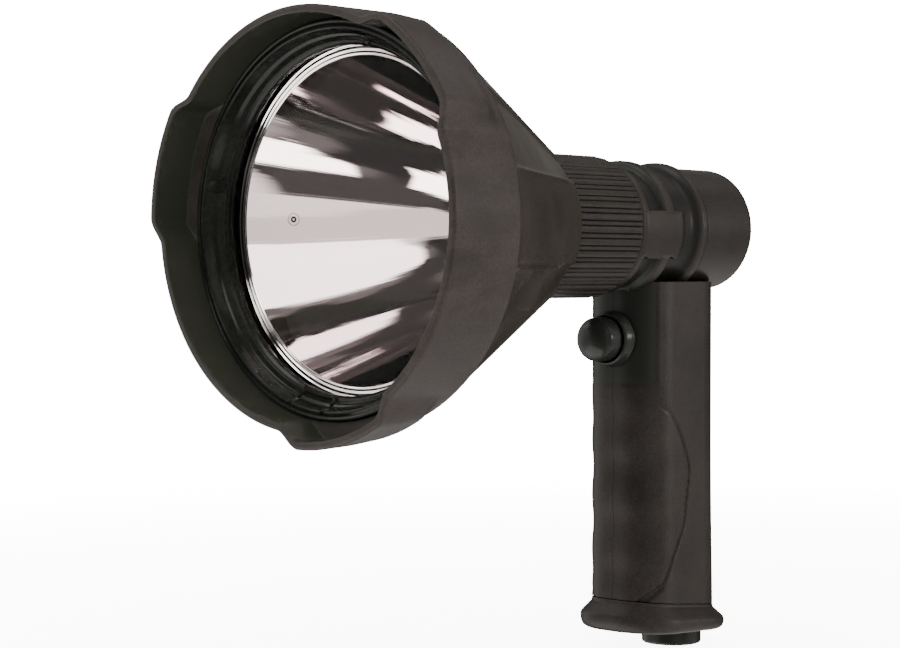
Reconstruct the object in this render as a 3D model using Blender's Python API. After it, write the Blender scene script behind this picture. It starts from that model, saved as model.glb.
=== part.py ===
"""LED hand torch with a pistol grip, in metres, +Z up, with the light facing -Y.

The origin is the centre of the port plug's flat end, on which the grip stands.
Pieces on the barrel are drawn as (radius, distance behind the bright ring's plane).
"""
import math

import bmesh
import bpy
import numpy as np

# Fits and cuts
TOUCH = 0.0003
RUNNING = 0.0004
OVERRUN = 0.0020
EDGE = 0.0006

# Whole torch
GRIP_TO_PLUG = 0.0110
GRIP_BEFORE_COLLAR_END = 0.0030

# Shroud round the front
LIP_REACH = 0.0242
LIP_OVER_RING = 0.0105
LIP_WALL = 0.0025
SHROUD_WALL = 0.0030
SHROUD_TAIL = 0.0026
LEDGE_DEPTH = 0.0110
LOBE_RISE = 0.0046
LOBE_COUNT = 3
LOBE_CENTRE = math.radians(44.0)
LOBE_HALF_WIDTH = math.radians(15.0)
LOBE_STEP_WIDTH = math.radians(7.5)
LOBE_FADE_SHARES = ((0.38, 0.90), (0.68, 0.72), (0.83, 0.15))

# Bezel, gasket and lens
RING_RADIUS = 0.0500
BEZEL_FLANGE = 0.0013
BEZEL_STEP_WIDTH = 0.0035
BEZEL_STEP_DROP = 0.0010
BEZEL_STEP_PLACE_SHARE = 0.45
LENS_THICKNESS = 0.0030
LENS_OVERLAP = 0.0022
GASKET_HEIGHT = 0.0010
GASKET_WIDTH = 0.0026

# Reflector
MOUTH_INSIDE_RING = 0.0024
HOLE_RADIUS = 0.0120
BOWL_TO_NECK = 0.0005
BOWL_WALL = 0.0016
RIM_THICKNESS = 0.0018
BOWL_RINGS = 8

# Head shell
RIM_WALL = 0.0027
SHOULDER_INSET = 0.0009
SHELL_WALL = 0.0026
LEDGE_THICKNESS = 0.0030
CONE_LENGTH = 0.0700
CONE_END_STAND = 0.0031
CLAMP_LENGTH = 0.0035
CONE_RINGS = 5
FACET_STEPS = 5
CREST_STEPS = 6
PAD_TOP = 0.0149
PAD_BOTTOM = 0.0120
PAD_STEP = 0.0009
CREST_TURN = math.radians(51.0)

# Neck tube and its seals
TUBE_RADIUS = 0.0180
TUBE_WALL = 0.0025
TUBE_IN_COLLAR = 0.0149
TUBE_MOUTH_LENGTH = 0.0024
TUBE_MOUTH_RISE = 0.0018
SEAL_SECTION = 0.0006
SEAL_GROOVE_DEPTH = 0.0013
SEAL_GROOVE_WIDTH = 0.0022
SEAL_INSET = 0.0030

# Focus ring
FOCUS_LENGTH = 0.0344
FOCUS_WALL = 0.0050
RIB_COUNT = 36
RIB_DEPTH = 0.0011
RIB_WIDTH_SHARE = 0.62
FOCUS_TURN = math.radians(60.0)
FOCUS_TRAVEL = 0.0040
CAM_DEPTH = 0.0018
CAM_STEPS = 8

# Light engine
SINK_BEHIND_BOWL = 0.0070
SINK_LENGTH = 0.0225
PEDESTAL_RADIUS = 0.0078
PEDESTAL_LENGTH = 0.0065
SINK_GROOVE_DEPTH = 0.0030
SINK_GROOVE_WIDTH = 0.0026
SINK_GROOVE_COUNT = 2
BOARD_RADIUS = 0.0074
BOARD_THICKNESS = 0.0015
EMITTER_SIDE = 0.0050
EMITTER_BASE = 0.0010
DOME_RADIUS = 0.0022
PIN_RADIUS = 0.0015
PIN_AFTER_SEAL = 0.0012

# Collar at the top of the handle
COLLAR_WALL = 0.0040
FIN_ONE_WIDTH = 0.0056
GROOVE_ONE_WIDTH = 0.0069
FIN_TWO_WIDTH = 0.0064
GROOVE_TWO_WIDTH = 0.0125
FLANGE_WIDTH = 0.0045
FIN_DEPTH = 0.0022
BULKHEAD = 0.0030
COLLAR_PAD_INSET = 0.0017
COLLAR_PAD_LENGTH = 0.0200
COLLAR_PAD_TOP = 0.0048
COLLAR_PAD_BOTTOM = 0.0096
COLLAR_PAD_STAND = 0.0004
SADDLE_TOP = 0.0120

# Grip
GRIP_SIDE_ROOM = 0.0063
GRIP_END_ROOM = 0.0026
GRIP_CORNER = 0.0130
GRIP_WALL = 0.0018
GRIP_LEVELS = 15
CORNER_STEPS = 4
WAVE_DEPTH = 0.0007
WAVE_COUNT = 4
WAVE_TOP = 0.0880
HEEL_BACK = 0.0012
CAP_CLEAR = 0.0005

# Foot
FOOT_BOTTOM = 0.0063
FOOT_HEIGHT = 0.0090
FOOT_FLOOR = 0.0026
FOOT_FLARE = 0.0038
FOOT_BOTTOM_SLOPE = 0.05
FOOT_TOP_SLOPE = 0.11
FLARE_SHARES = ((0.0, 0.42), (0.09, 0.80), (0.26, 1.0), (0.50, 1.0), (0.66, 0.60), (0.82, 0.22), (1.0, 0.0))
SPIGOT_HEIGHT = 0.0016
SPIGOT_WALL = 0.0022
PLUG_HEAD = 0.0048
PLUG_RADIUS = 0.0100
PLUG_STEM_RADIUS = 0.0029
PLUG_STEM_LENGTH = 0.0070
SOCKET_RADIUS = 0.0055
SOCKET_LENGTH = 0.0068
SOCKET_FLOOR = 0.0012

# Rear cap
CAP_INSET = 0.0016
CAP_LENGTH = 0.0264
CAP_WALL = 0.0022
CAP_ROUND = 0.0012
HUB_RADIUS = 0.0065
HUB_GAP = 0.0022

# Dimmer behind the bulkhead
POT_RADIUS = 0.0083
POT_LENGTH = 0.0110
BUSHING_RADIUS = 0.0045
BUSHING_STAND = 0.0044
SHAFT_RADIUS = 0.0030
SHAFT_ROOT = 0.0040
NUT_RADIUS = 0.0075
NUT_HEIGHT = 0.0022

# Driver board in the neck tube
DRIVER_BEFORE_END = 0.0120
DRIVER_THICKNESS = 0.0016
COIL_RADIUS = 0.0045
COIL_HEIGHT = 0.0050
CHIP_SIDE = 0.0060
CHIP_HEIGHT = 0.0020
PART_OFFSET = 0.0070

# Push button
BUTTON_DROP = 0.0365
BUTTON_ABOVE_TRAY = 0.01339
BUTTON_RING_RADIUS = 0.0094
BUTTON_RING_STAND = 0.0060
BUTTON_CAP_RADIUS = 0.0064
BUTTON_CAP_STAND = 0.0072
BUTTON_DOME_HEIGHT = 0.0046
BUTTON_CAP_SINK = 0.0034
BUTTON_TRAVEL = 0.0025
STEM_RADIUS = 0.0083
STEM_DEPTH = 0.0096
BUTTON_NUT_RADIUS = 0.0108
BUTTON_NUT_HEIGHT = 0.0024
NUT_SEAT_DEPTH = 0.0066
NUT_SEAT_RIM = 0.0006
SWITCH_LENGTH = 0.0080
PLUNGER_RADIUS = 0.0016
SPRING_RADIUS = 0.0034
SPRING_WIRE = 0.0005
SPRING_TURNS = 3

# Battery
CELL_RADIUS = 0.0092
CELL_LENGTH = 0.0650
CELL_TIP_RADIUS = 0.0040
CELL_TIP_HEIGHT = 0.0010
TRAY_WALL = 0.0016
STRIP_THICKNESS = 0.0006
STRIP_WIDTH = 0.0080

# Screws
SCREW_RADIUS = 0.0014
SCREW_HEAD_RADIUS = 0.0026
SCREW_HEAD_HEIGHT = 0.0018
SCREW_LENGTH = 0.0130
BOSS_RADIUS = 0.0034
SOCKET_SHARE = 0.5
SCREW_ABOVE_BUTTON = 0.0086
SCREW_SPREAD = 0.0080
FLOOR_SCREW_RISE = 0.0006

# Stations along the barrel, behind the bright ring's plane
LIP_RADIUS = RING_RADIUS + LIP_OVER_RING
BOWL_DEPTH = CONE_LENGTH - BOWL_TO_NECK
MOUTH_RADIUS = RING_RADIUS - MOUTH_INSIDE_RING
SINK_FRONT = BOWL_DEPTH + SINK_BEHIND_BOWL
FOCUS_FRONT = CONE_LENGTH + RUNNING
FOCUS_END = FOCUS_FRONT + FOCUS_LENGTH
FOCUS_RADIUS = TUBE_RADIUS + FOCUS_WALL
SEAL_GROOVE_END = FOCUS_FRONT + SEAL_INSET + SEAL_GROOVE_WIDTH / 2.0
PIN_PLACE = SEAL_GROOVE_END + PIN_AFTER_SEAL + PIN_RADIUS + RUNNING + FOCUS_TRAVEL
COLLAR_FRONT = FOCUS_END + TOUCH
COLLAR_RADIUS = TUBE_RADIUS + COLLAR_WALL
FIN_ONE_END = COLLAR_FRONT + FIN_ONE_WIDTH
FIN_TWO_START = FIN_ONE_END + GROOVE_ONE_WIDTH
FIN_TWO_END = FIN_TWO_START + FIN_TWO_WIDTH
FLANGE_START = FIN_TWO_END + GROOVE_TWO_WIDTH
COLLAR_END = FLANGE_START + FLANGE_WIDTH
CAP_RADIUS = COLLAR_RADIUS - CAP_INSET
TUBE_FRONT = CONE_LENGTH - CLAMP_LENGTH + TOUCH
TUBE_END = COLLAR_FRONT + TUBE_IN_COLLAR
RING_PLACE = GRIP_BEFORE_COLLAR_END - COLLAR_END - GRIP_TO_PLUG

# Grip round its two cells
GRIP_WIDTH = 2.0 * (CELL_RADIUS + GRIP_SIDE_ROOM)
GRIP_DEPTH = 4.0 * CELL_RADIUS + 2.0 * GRIP_END_ROOM
FOOT_TOP = FOOT_BOTTOM + FOOT_HEIGHT
SPIGOT_TOP = FOOT_TOP + FOOT_TOP_SLOPE * GRIP_DEPTH / 2.0 + SPIGOT_HEIGHT
TRAY_FOOT = SPIGOT_TOP + TOUCH
CELL_FOOT = TRAY_FOOT + TRAY_WALL + STRIP_THICKNESS + 2.0 * TOUCH
CELL_TOP = CELL_FOOT + CELL_LENGTH
TRAY_TOP = CELL_TOP + STRIP_THICKNESS + 2.0 * TOUCH + TRAY_WALL
BUTTON_HEIGHT = TRAY_TOP + BUTTON_ABOVE_TRAY
AXIS_HEIGHT = BUTTON_HEIGHT + BUTTON_DROP

# Finish of each kind of piece: colour, roughness, metallic
SHROUD_BLACK = ((0.042, 0.037, 0.033), 0.55, 0.0)
SHELL_BLACK = ((0.038, 0.033, 0.030), 0.45, 0.0)
INNER_BLACK = ((0.015, 0.016, 0.014), 0.35, 0.0)
RUBBER_BLACK = ((0.020, 0.019, 0.018), 0.60, 0.0)
CHROME = ((0.90, 0.90, 0.90), 0.05, 1.0)
CLEAR = ((0.95, 0.97, 0.97), 0.03, 0.0)
ALUMINIUM = ((0.60, 0.60, 0.61), 0.35, 1.0)
STEEL = ((0.50, 0.50, 0.50), 0.30, 1.0)
BOARD_WHITE = ((0.80, 0.80, 0.78), 0.50, 0.0)
BOARD_GREEN = ((0.03, 0.16, 0.07), 0.45, 0.0)
PHOSPHOR = ((0.85, 0.62, 0.08), 0.30, 0.0)
CELL_BLUE = ((0.03, 0.11, 0.33), 0.35, 0.0)
NICKEL = ((0.66, 0.63, 0.58), 0.30, 1.0)


for old in list(bpy.data.objects):
    bpy.data.objects.remove(old)


# Materials and meshes

def finish_of(kind, name):
    """One Principled material for the piece of this name."""
    colour, roughness, metallic = kind
    material = bpy.data.materials.new(name)
    material.use_nodes = True
    shader = material.node_tree.nodes["Principled BSDF"]
    shader.inputs["Base Color"].default_value = (*colour, 1.0)
    shader.inputs["Roughness"].default_value = roughness
    shader.inputs["Metallic"].default_value = metallic
    return material


def place(name, mesh, kind, at):
    """Link a mesh as an object, smooth with sharp edges, at its own origin."""
    mesh.shade_smooth()
    mesh.set_sharp_from_angle(angle=math.radians(35.0))
    mesh.materials.append(finish_of(kind, name))
    piece = bpy.data.objects.new(name, mesh)
    piece.location = at
    bpy.context.scene.collection.objects.link(piece)
    return piece


def skin(name, rows, kind, at=(0.0, 0.0, 0.0), ring=False):
    """Faces between loops of points. A ring joins the last loop to the first, or flat ends close it."""
    work = bmesh.new()
    loops = [[work.verts.new(point) for point in row] for row in rows]
    count = len(loops[0])
    pairs = list(zip(loops, loops[1:]))
    if ring:
        pairs.append((loops[-1], loops[0]))
    else:
        work.faces.new(loops[0])
        work.faces.new(loops[-1])
    for low, high in pairs:
        for step in range(count):
            after = (step + 1) % count
            work.faces.new((low[step], low[after], high[after], high[step]))
    bmesh.ops.recalc_face_normals(work, faces=work.faces)
    mesh = bpy.data.meshes.new(name)
    work.to_mesh(mesh)
    work.free()
    return place(name, mesh, kind, at)


def around(steps):
    """Angles of one full turn, from +X towards +Z."""
    return np.arange(steps) * (2.0 * math.pi / steps)


def hoop(radius, along, steps):
    """A circle of points about the Y axis, radius may vary with the angle."""
    turn = around(steps)
    return np.stack([radius * np.cos(turn), np.full(steps, along), radius * np.sin(turn)], axis=1)


def upright_hoop(radius, height, steps):
    """A circle of points about the Z axis."""
    turn = around(steps)
    return np.stack([radius * np.cos(turn), radius * np.sin(turn), np.full(steps, height)], axis=1)


BARREL = (0.0, RING_PLACE, AXIS_HEIGHT)


def turned(name, outline, kind, steps, bored=True, at=BARREL, loop=hoop):
    """Turn an outline of (radius, along) about the piece's axis."""
    rows = [loop(radius, along, steps) for radius, along in outline]
    return skin(name, rows, kind, at, ring=bored)


def guide(piece):
    """Keep a cutter or a joined shape out of the model."""
    piece.hide_render = True
    piece.display_type = "WIRE"
    return piece


def combine(piece, other, operation):
    """Add a Boolean with another shape, which becomes a guide."""
    step = piece.modifiers.new(other.name, "BOOLEAN")
    step.operation = operation
    step.solver = "EXACT"
    step.object = guide(other)


def box(name, low, high, kind, at=(0.0, 0.0, 0.0)):
    """A block between two corners."""
    x0, y0, z0 = low
    x1, y1, z1 = high
    floor = [(x0, y0, z0), (x1, y0, z0), (x1, y1, z0), (x0, y1, z0)]
    top = [(x, y, z1) for x, y, _ in floor]
    return skin(name, [floor, top], kind, at)


def rod(name, radius, low, high, kind, at, steps=24, loop=hoop):
    """A plain cylinder along its axis, from low to high."""
    return turned(name, [(radius, low), (radius, high)], kind, steps, bored=False, at=at, loop=loop)


def eased(value):
    """A step from 0 to 1 with soft ends."""
    share = np.clip(value, 0.0, 1.0)
    return share * share * (3.0 - 2.0 * share)


# Shroud with its three lobes

SHROUD_BORE = LIP_RADIUS - SHROUD_WALL
RIM_RADIUS = SHROUD_BORE - TOUCH


def lobe_share(turn):
    """1 on a lobe, 0 between lobes, with a soft step at each side."""
    pitch = 2.0 * math.pi / LOBE_COUNT
    off = np.abs((turn - LOBE_CENTRE + pitch / 2.0) % pitch - pitch / 2.0)
    return 1.0 - eased((off - LOBE_HALF_WIDTH) / LOBE_STEP_WIDTH)


def make_bumper():
    steps = 84
    lift = LOBE_RISE * lobe_share(around(steps))
    wall_inside = LIP_RADIUS - LIP_WALL
    front = -LIP_REACH
    outline = [
        (LIP_RADIUS - EDGE, front, 1), (LIP_RADIUS, front + 2.0 * EDGE, 1),
    ]
    for place_share, lobed in LOBE_FADE_SHARES:
        outline.append((LIP_RADIUS, front + (SHROUD_TAIL - front) * place_share, lobed))
    outline += [
        (LIP_RADIUS, SHROUD_TAIL - EDGE, 0), (LIP_RADIUS - EDGE, SHROUD_TAIL, 0),
        (SHROUD_BORE, SHROUD_TAIL, 0), (SHROUD_BORE, -LEDGE_DEPTH, 0),
        (wall_inside, -LEDGE_DEPTH - EDGE, 1), (wall_inside, front + EDGE, 1),
        (wall_inside + EDGE, front, 1),
    ]
    rows = [hoop(radius + lobed * lift, along, steps) for radius, along, lobed in outline]
    skin("bumper", rows, SHROUD_BLACK, BARREL, ring=True)


# Bezel, lens, gasket and reflector

BEZEL_BORE = RING_RADIUS + TOUCH
LENS_RADIUS = RING_RADIUS + LENS_OVERLAP
LENS_BACK = -TOUCH
LENS_FRONT = LENS_BACK - LENS_THICKNESS
GASKET_BACK = LENS_FRONT - TOUCH
GASKET_FRONT = GASKET_BACK - GASKET_HEIGHT
BEZEL_BACK = GASKET_FRONT - TOUCH
RIM_BORE = RIM_RADIUS - RIM_WALL


def make_bezel():
    flange_back = -LEDGE_DEPTH
    flange_front = flange_back - BEZEL_FLANGE
    skirt = RIM_BORE - TOUCH
    step_radius = RING_RADIUS + BEZEL_STEP_WIDTH
    step_place = flange_back + (BEZEL_BACK - flange_back) * BEZEL_STEP_PLACE_SHARE
    turned("bezel_ring", [
        (RIM_RADIUS - EDGE, flange_front), (RIM_RADIUS, flange_front + EDGE), (RIM_RADIUS, flange_back),
        (skirt, flange_back), (skirt, BEZEL_BACK), (BEZEL_BORE, BEZEL_BACK),
        (BEZEL_BORE, BEZEL_BACK - EDGE),
        (step_radius - BEZEL_STEP_DROP, step_place), (step_radius, step_place - EDGE),
        (step_radius + BEZEL_STEP_DROP, flange_front),
    ], INNER_BLACK, 48)


def make_lens():
    turned("lens", [
        (LENS_RADIUS - EDGE, LENS_FRONT), (LENS_RADIUS, LENS_FRONT + EDGE), (LENS_RADIUS, LENS_BACK),
    ], CLEAR, 48, bored=False)


def make_gasket():
    inner = BEZEL_BORE + TOUCH
    outer = inner + GASKET_WIDTH
    turned("lens_gasket", [
        (inner, GASKET_FRONT), (outer, GASKET_FRONT), (outer, GASKET_BACK), (inner, GASKET_BACK),
    ], RUBBER_BLACK, 36)


def bowl_depth_at(radius):
    """Depth of the mirror behind the ring's plane: a parabola from the mouth to the hole."""
    span = MOUTH_RADIUS ** 2 - HOLE_RADIUS ** 2
    return BOWL_DEPTH * (MOUTH_RADIUS ** 2 - radius ** 2) / span


def make_reflector():
    shares = np.linspace(0.0, 1.0, BOWL_RINGS)
    radii = MOUTH_RADIUS + (HOLE_RADIUS - MOUTH_RADIUS) * shares
    inside = [(radius, bowl_depth_at(radius)) for radius in radii]
    outside = [(radius + BOWL_WALL, depth) for radius, depth in inside[::-1]]
    outside[0] = (HOLE_RADIUS + BOWL_WALL, BOWL_DEPTH + BOWL_WALL)
    inside.append((HOLE_RADIUS, BOWL_DEPTH + BOWL_WALL))
    rim = LENS_RADIUS
    outline = inside + outside[:-1]
    outline += [(MOUTH_RADIUS + BOWL_WALL, RIM_THICKNESS), (rim, RIM_THICKNESS), (rim, 0.0)]
    turned("reflector", outline, CHROME, 44)


# Head shell, a cone with a raised pad on each side and a crest above and below

SHOULDER_PLACE = SHROUD_TAIL + TOUCH
SHOULDER_RADIUS = LIP_RADIUS - SHOULDER_INSET
CONE_END_RADIUS = FOCUS_RADIUS + CONE_END_STAND


def cone_radius(along):
    """Radius of the plain cone, from the shoulder to its small end."""
    share = (along - SHOULDER_PLACE) / (CONE_LENGTH - SHOULDER_PLACE)
    return SHOULDER_RADIUS + (CONE_END_RADIUS - SHOULDER_RADIUS) * share


def sculpted_radius(along, turn):
    """The cone with flat facets between the side pads and the crests."""
    radius = cone_radius(along)
    height = radius * np.sin(turn)
    pad_edge = np.where(height > 0.0, PAD_TOP, PAD_BOTTOM)
    pad_turn = np.arcsin(pad_edge / radius)
    off = np.abs(np.arcsin(np.clip(np.sin(turn), -1.0, 1.0)))
    middle = (pad_turn + CREST_TURN) / 2.0
    half = (CREST_TURN - pad_turn) / 2.0
    chord = radius * np.cos(half) / np.cos(np.clip(off - middle, -half, half))
    return np.where((off > pad_turn) & (off < CREST_TURN), chord - PAD_STEP, radius)


def cone_turns(along):
    """Angles round the cone, with a close pair at each edge of a pad or a crest."""
    radius = cone_radius(along)
    quarters = []
    for edge in (PAD_TOP, PAD_BOTTOM):
        pad = math.asin(edge / radius)
        ease = EDGE / radius
        facet = np.linspace(pad + ease, CREST_TURN - ease, FACET_STEPS)
        quarters.append(np.concatenate([
            np.linspace(0.0, pad, 3), facet, np.linspace(CREST_TURN, math.pi / 2.0, CREST_STEPS)]))
    upper, lower = quarters
    return np.concatenate([
        upper, (math.pi - upper)[::-1][1:], (math.pi + lower)[1:], (2.0 * math.pi - lower)[::-1][1:-1]])


def cone_row(along, inset):
    """One loop round the cone, a wall's thickness inside it if asked."""
    turn = cone_turns(along)
    radius = sculpted_radius(along, turn) - inset
    return np.stack([radius * np.cos(turn), np.full(len(turn), along), radius * np.sin(turn)], axis=1)


def round_row(radius, along, like):
    """A plain circle with the same angles as the cone's loop at another place."""
    turn = cone_turns(like)
    return np.stack([radius * np.cos(turn), np.full(len(turn), along), radius * np.sin(turn)], axis=1)


def make_head_shell():
    rim_front = -LEDGE_DEPTH + TOUCH
    ledge = RIM_THICKNESS + TOUCH
    clamp = CONE_LENGTH - CLAMP_LENGTH
    bore = TUBE_RADIUS + TOUCH
    stations = np.linspace(SHOULDER_PLACE, CONE_LENGTH, CONE_RINGS)
    back_of_ledge = ledge + LEDGE_THICKNESS
    inner = np.linspace(back_of_ledge + 2.0 * SHELL_WALL, clamp - SHELL_WALL, CONE_RINGS - 2)
    rows = [round_row(RIM_BORE, rim_front, SHOULDER_PLACE), round_row(RIM_RADIUS, rim_front, SHOULDER_PLACE)]
    rows.append(round_row(RIM_RADIUS, SHOULDER_PLACE, SHOULDER_PLACE))
    rows += [cone_row(along, 0.0) for along in stations]
    rows.append(round_row(bore, CONE_LENGTH, CONE_LENGTH))
    rows.append(round_row(bore, clamp, clamp))
    rows += [cone_row(along, SHELL_WALL) for along in inner[::-1]]
    ledge_bore = MOUTH_RADIUS + 2.0 * BOWL_WALL
    rows.append(round_row(ledge_bore, back_of_ledge, SHOULDER_PLACE))
    rows.append(round_row(ledge_bore, ledge, SHOULDER_PLACE))
    rows.append(round_row(RIM_BORE, ledge, SHOULDER_PLACE))
    skin("head_shell", rows, SHELL_BLACK, BARREL, ring=True)


# Neck tube, its slot for the focus pin, and its seals

TUBE_BORE = TUBE_RADIUS - TUBE_WALL
SEAL_PLACES = (FOCUS_FRONT + SEAL_INSET, FOCUS_END - SEAL_INSET)


def make_neck_tube():
    floor = TUBE_RADIUS - SEAL_GROOVE_DEPTH
    half = SEAL_GROOVE_WIDTH / 2.0
    outline = [(TUBE_BORE, TUBE_FRONT + TUBE_MOUTH_LENGTH), (TUBE_BORE + TUBE_MOUTH_RISE, TUBE_FRONT)]
    outline.append((TUBE_RADIUS, TUBE_FRONT))
    for middle in SEAL_PLACES:
        outline += [(TUBE_RADIUS, middle - half), (floor, middle - half)]
        outline += [(floor, middle + half), (TUBE_RADIUS, middle + half)]
    outline += [(TUBE_RADIUS, TUBE_END), (TUBE_BORE, TUBE_END)]
    tube = turned("neck_tube", outline, ALUMINIUM, 32)
    reach = PIN_RADIUS + RUNNING
    slot = box("neck_tube_slot", (-reach, PIN_PLACE - FOCUS_TRAVEL - reach, TUBE_BORE - OVERRUN),
               (reach, PIN_PLACE + reach, TUBE_RADIUS + OVERRUN), ALUMINIUM, BARREL)
    combine(tube, slot, "DIFFERENCE")


def make_seals():
    middle_radius = TUBE_RADIUS - SEAL_GROOVE_DEPTH + TOUCH / 2.0 + SEAL_SECTION
    for number, along in enumerate(SEAL_PLACES, start=1):
        outline = []
        for angle in around(5):
            radius = middle_radius + SEAL_SECTION * math.cos(angle)
            outline.append((radius, along + SEAL_SECTION * math.sin(angle)))
        turned(f"neck_seal_{number}", outline, RUBBER_BLACK, 24)


# Focus ring with its ribs outside and the cam groove inside

def make_focus_ring():
    pitch = 2.0 * math.pi / RIB_COUNT
    half_rib = pitch * RIB_WIDTH_SHARE / 2.0
    flank = pitch * (1.0 - RIB_WIDTH_SHARE) / 4.0
    corners = (-half_rib, half_rib, half_rib + flank, pitch - half_rib - flank)
    low = RIB_DEPTH * np.array([0.0, 0.0, 1.0, 1.0])
    turn = np.concatenate([pitch * rib + np.array(corners) for rib in range(RIB_COUNT)])
    drop = np.tile(low, RIB_COUNT)

    def row(radius, along, ribbed):
        reach = radius - ribbed * drop
        return np.stack([reach * np.cos(turn), np.full(len(turn), along), reach * np.sin(turn)], axis=1)

    bore = TUBE_RADIUS + RUNNING
    root = FOCUS_RADIUS - RIB_DEPTH
    rows = [row(bore, FOCUS_FRONT, 0), row(root, FOCUS_FRONT, 0), row(FOCUS_RADIUS, FOCUS_FRONT + EDGE, 1)]
    rows += [row(FOCUS_RADIUS, FOCUS_END - EDGE, 1), row(root, FOCUS_END, 0), row(bore, FOCUS_END, 0)]
    ring = skin("focus_ring", rows, SHELL_BLACK, BARREL, ring=True)
    combine(ring, make_cam_cutter(bore), "DIFFERENCE")


def make_cam_cutter(bore):
    """A helical groove that moves the pin forward as the ring turns."""
    reach = PIN_RADIUS + 2.0 * RUNNING
    spare = math.asin(2.0 * reach / bore)
    rows = []
    for turn in np.linspace(-spare, FOCUS_TURN + spare, CAM_STEPS):
        angle = math.pi / 2.0 + turn
        middle = PIN_PLACE - FOCUS_TRAVEL * turn / FOCUS_TURN
        section = []
        inner, outer = bore - OVERRUN, bore + CAM_DEPTH
        for radius, side in ((inner, -1), (inner, 1), (outer, 1), (outer, -1)):
            section.append((radius * math.cos(angle), middle + side * reach, radius * math.sin(angle)))
        rows.append(section)
    return skin("focus_ring_cam", rows, SHELL_BLACK, BARREL)


# Light engine that slides in the neck tube

def make_light_engine():
    outer = TUBE_BORE - RUNNING
    pedestal_front = SINK_FRONT - PEDESTAL_LENGTH
    sink_end = SINK_FRONT + SINK_LENGTH
    outline = [(PEDESTAL_RADIUS, pedestal_front), (PEDESTAL_RADIUS, SINK_FRONT), (outer, SINK_FRONT)]
    for index in range(SINK_GROOVE_COUNT):
        start = PIN_PLACE + PIN_RADIUS + SINK_GROOVE_WIDTH * (2 * index + 1)
        end = start + SINK_GROOVE_WIDTH
        floor = outer - SINK_GROOVE_DEPTH
        outline += [(outer, start), (floor, start), (floor, end), (outer, end)]
    outline.append((outer, sink_end))
    sink = turned("heat_sink", outline, ALUMINIUM, 24, bored=False)
    pin_foot = outer - CAM_DEPTH - PIN_RADIUS
    pin_at = (0.0, RING_PLACE + PIN_PLACE, AXIS_HEIGHT)
    seat = rod("heat_sink_pin_seat", PIN_RADIUS + TOUCH, pin_foot - TOUCH, outer + OVERRUN, STEEL, pin_at,
               12, upright_hoop)
    combine(sink, seat, "DIFFERENCE")
    pin_tip = TUBE_RADIUS + RUNNING + CAM_DEPTH - RUNNING
    rod("focus_pin", PIN_RADIUS, pin_foot, pin_tip, STEEL, pin_at, 12, upright_hoop)
    board_back = pedestal_front - TOUCH
    board_front = board_back - BOARD_THICKNESS
    rod("led_board", BOARD_RADIUS, board_front, board_back, BOARD_WHITE, BARREL)
    make_emitter(board_front - TOUCH)


def make_emitter(back):
    half = EMITTER_SIDE / 2.0
    front = back - EMITTER_BASE
    emitter = box("led_emitter", (-half, front, -half), (half, back, half), PHOSPHOR, BARREL)
    rises = np.radians((-20.0, 15.0, 40.0, 65.0))
    outline = [(DOME_RADIUS * math.cos(rise), front - DOME_RADIUS * math.sin(rise)) for rise in rises]
    dome = turned("led_emitter_dome", outline, PHOSPHOR, 16, bored=False)
    combine(emitter, dome, "UNION")


# Grip section: a rounded rectangle that follows the fingers in front

GRIP_TOP = AXIS_HEIGHT - CAP_RADIUS - CAP_CLEAR
GRIP_MIDDLE = -GRIP_TO_PLUG
GRIP_FRONT = GRIP_MIDDLE - GRIP_DEPTH / 2.0
HOLLOW_MIDDLE = GRIP_MIDDLE + WAVE_DEPTH / 2.0
BOSS_PLACES = (
    (GRIP_MIDDLE + SCREW_SPREAD, TRAY_TOP + BOSS_RADIUS + 2.0 * TOUCH),
    (GRIP_MIDDLE + SCREW_SPREAD, BUTTON_HEIGHT + SCREW_ABOVE_BUTTON),
)
FLOOR_PLACE = (GRIP_MIDDLE - SCREW_SPREAD, AXIS_HEIGHT - CAP_RADIUS - FLOOR_SCREW_RISE)
SCREW_PLACES = (*BOSS_PLACES, FLOOR_PLACE)


def finger_wave(height):
    """How far the front is drawn in at a height, with one hollow for each finger."""
    share = (height - FOOT_TOP) / (WAVE_TOP - FOOT_TOP)
    fade = eased(4.0 * share) * eased(4.0 * (1.0 - share))
    return WAVE_DEPTH * fade * (1.0 - math.cos(2.0 * math.pi * WAVE_COUNT * share)) / 2.0


def rounded_loop(width, front, back, corner, height):
    """A rounded rectangle at one height, counted round from the front corner on +X."""
    points = []
    low, high = front + corner, back - corner
    for side, middle, start in ((1, low, -90.0), (1, high, 0.0), (-1, high, 90.0), (-1, low, 180.0)):
        for step in range(CORNER_STEPS + 1):
            angle = math.radians(start + 90.0 * step / CORNER_STEPS)
            across = side * (width / 2.0 - corner) + corner * math.cos(angle)
            points.append((across, middle + corner * math.sin(angle), height))
    return points


def grip_loop(height):
    """The grip's outline at a height, with its finger waves in front and its heel behind."""
    heel = HEEL_BACK * eased((WAVE_TOP - height) / WAVE_TOP) ** 2
    return rounded_loop(GRIP_WIDTH, GRIP_FRONT + finger_wave(height), GRIP_MIDDLE + GRIP_DEPTH / 2.0 + heel,
                        GRIP_CORNER, height)


def sloped(loop, slope):
    """The same loop, lower towards the back by the slope."""
    return [(x, y, z - slope * (y - GRIP_MIDDLE)) for x, y, z in loop]


def hollow_loop(inset, height):
    """The straight hollow inside the grip, clear of the finger waves, in by inset."""
    side = GRIP_WALL + inset
    return rounded_loop(GRIP_WIDTH - 2.0 * side, GRIP_FRONT + WAVE_DEPTH + side,
                        GRIP_MIDDLE + GRIP_DEPTH / 2.0 - side, GRIP_CORNER - side, height)


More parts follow.
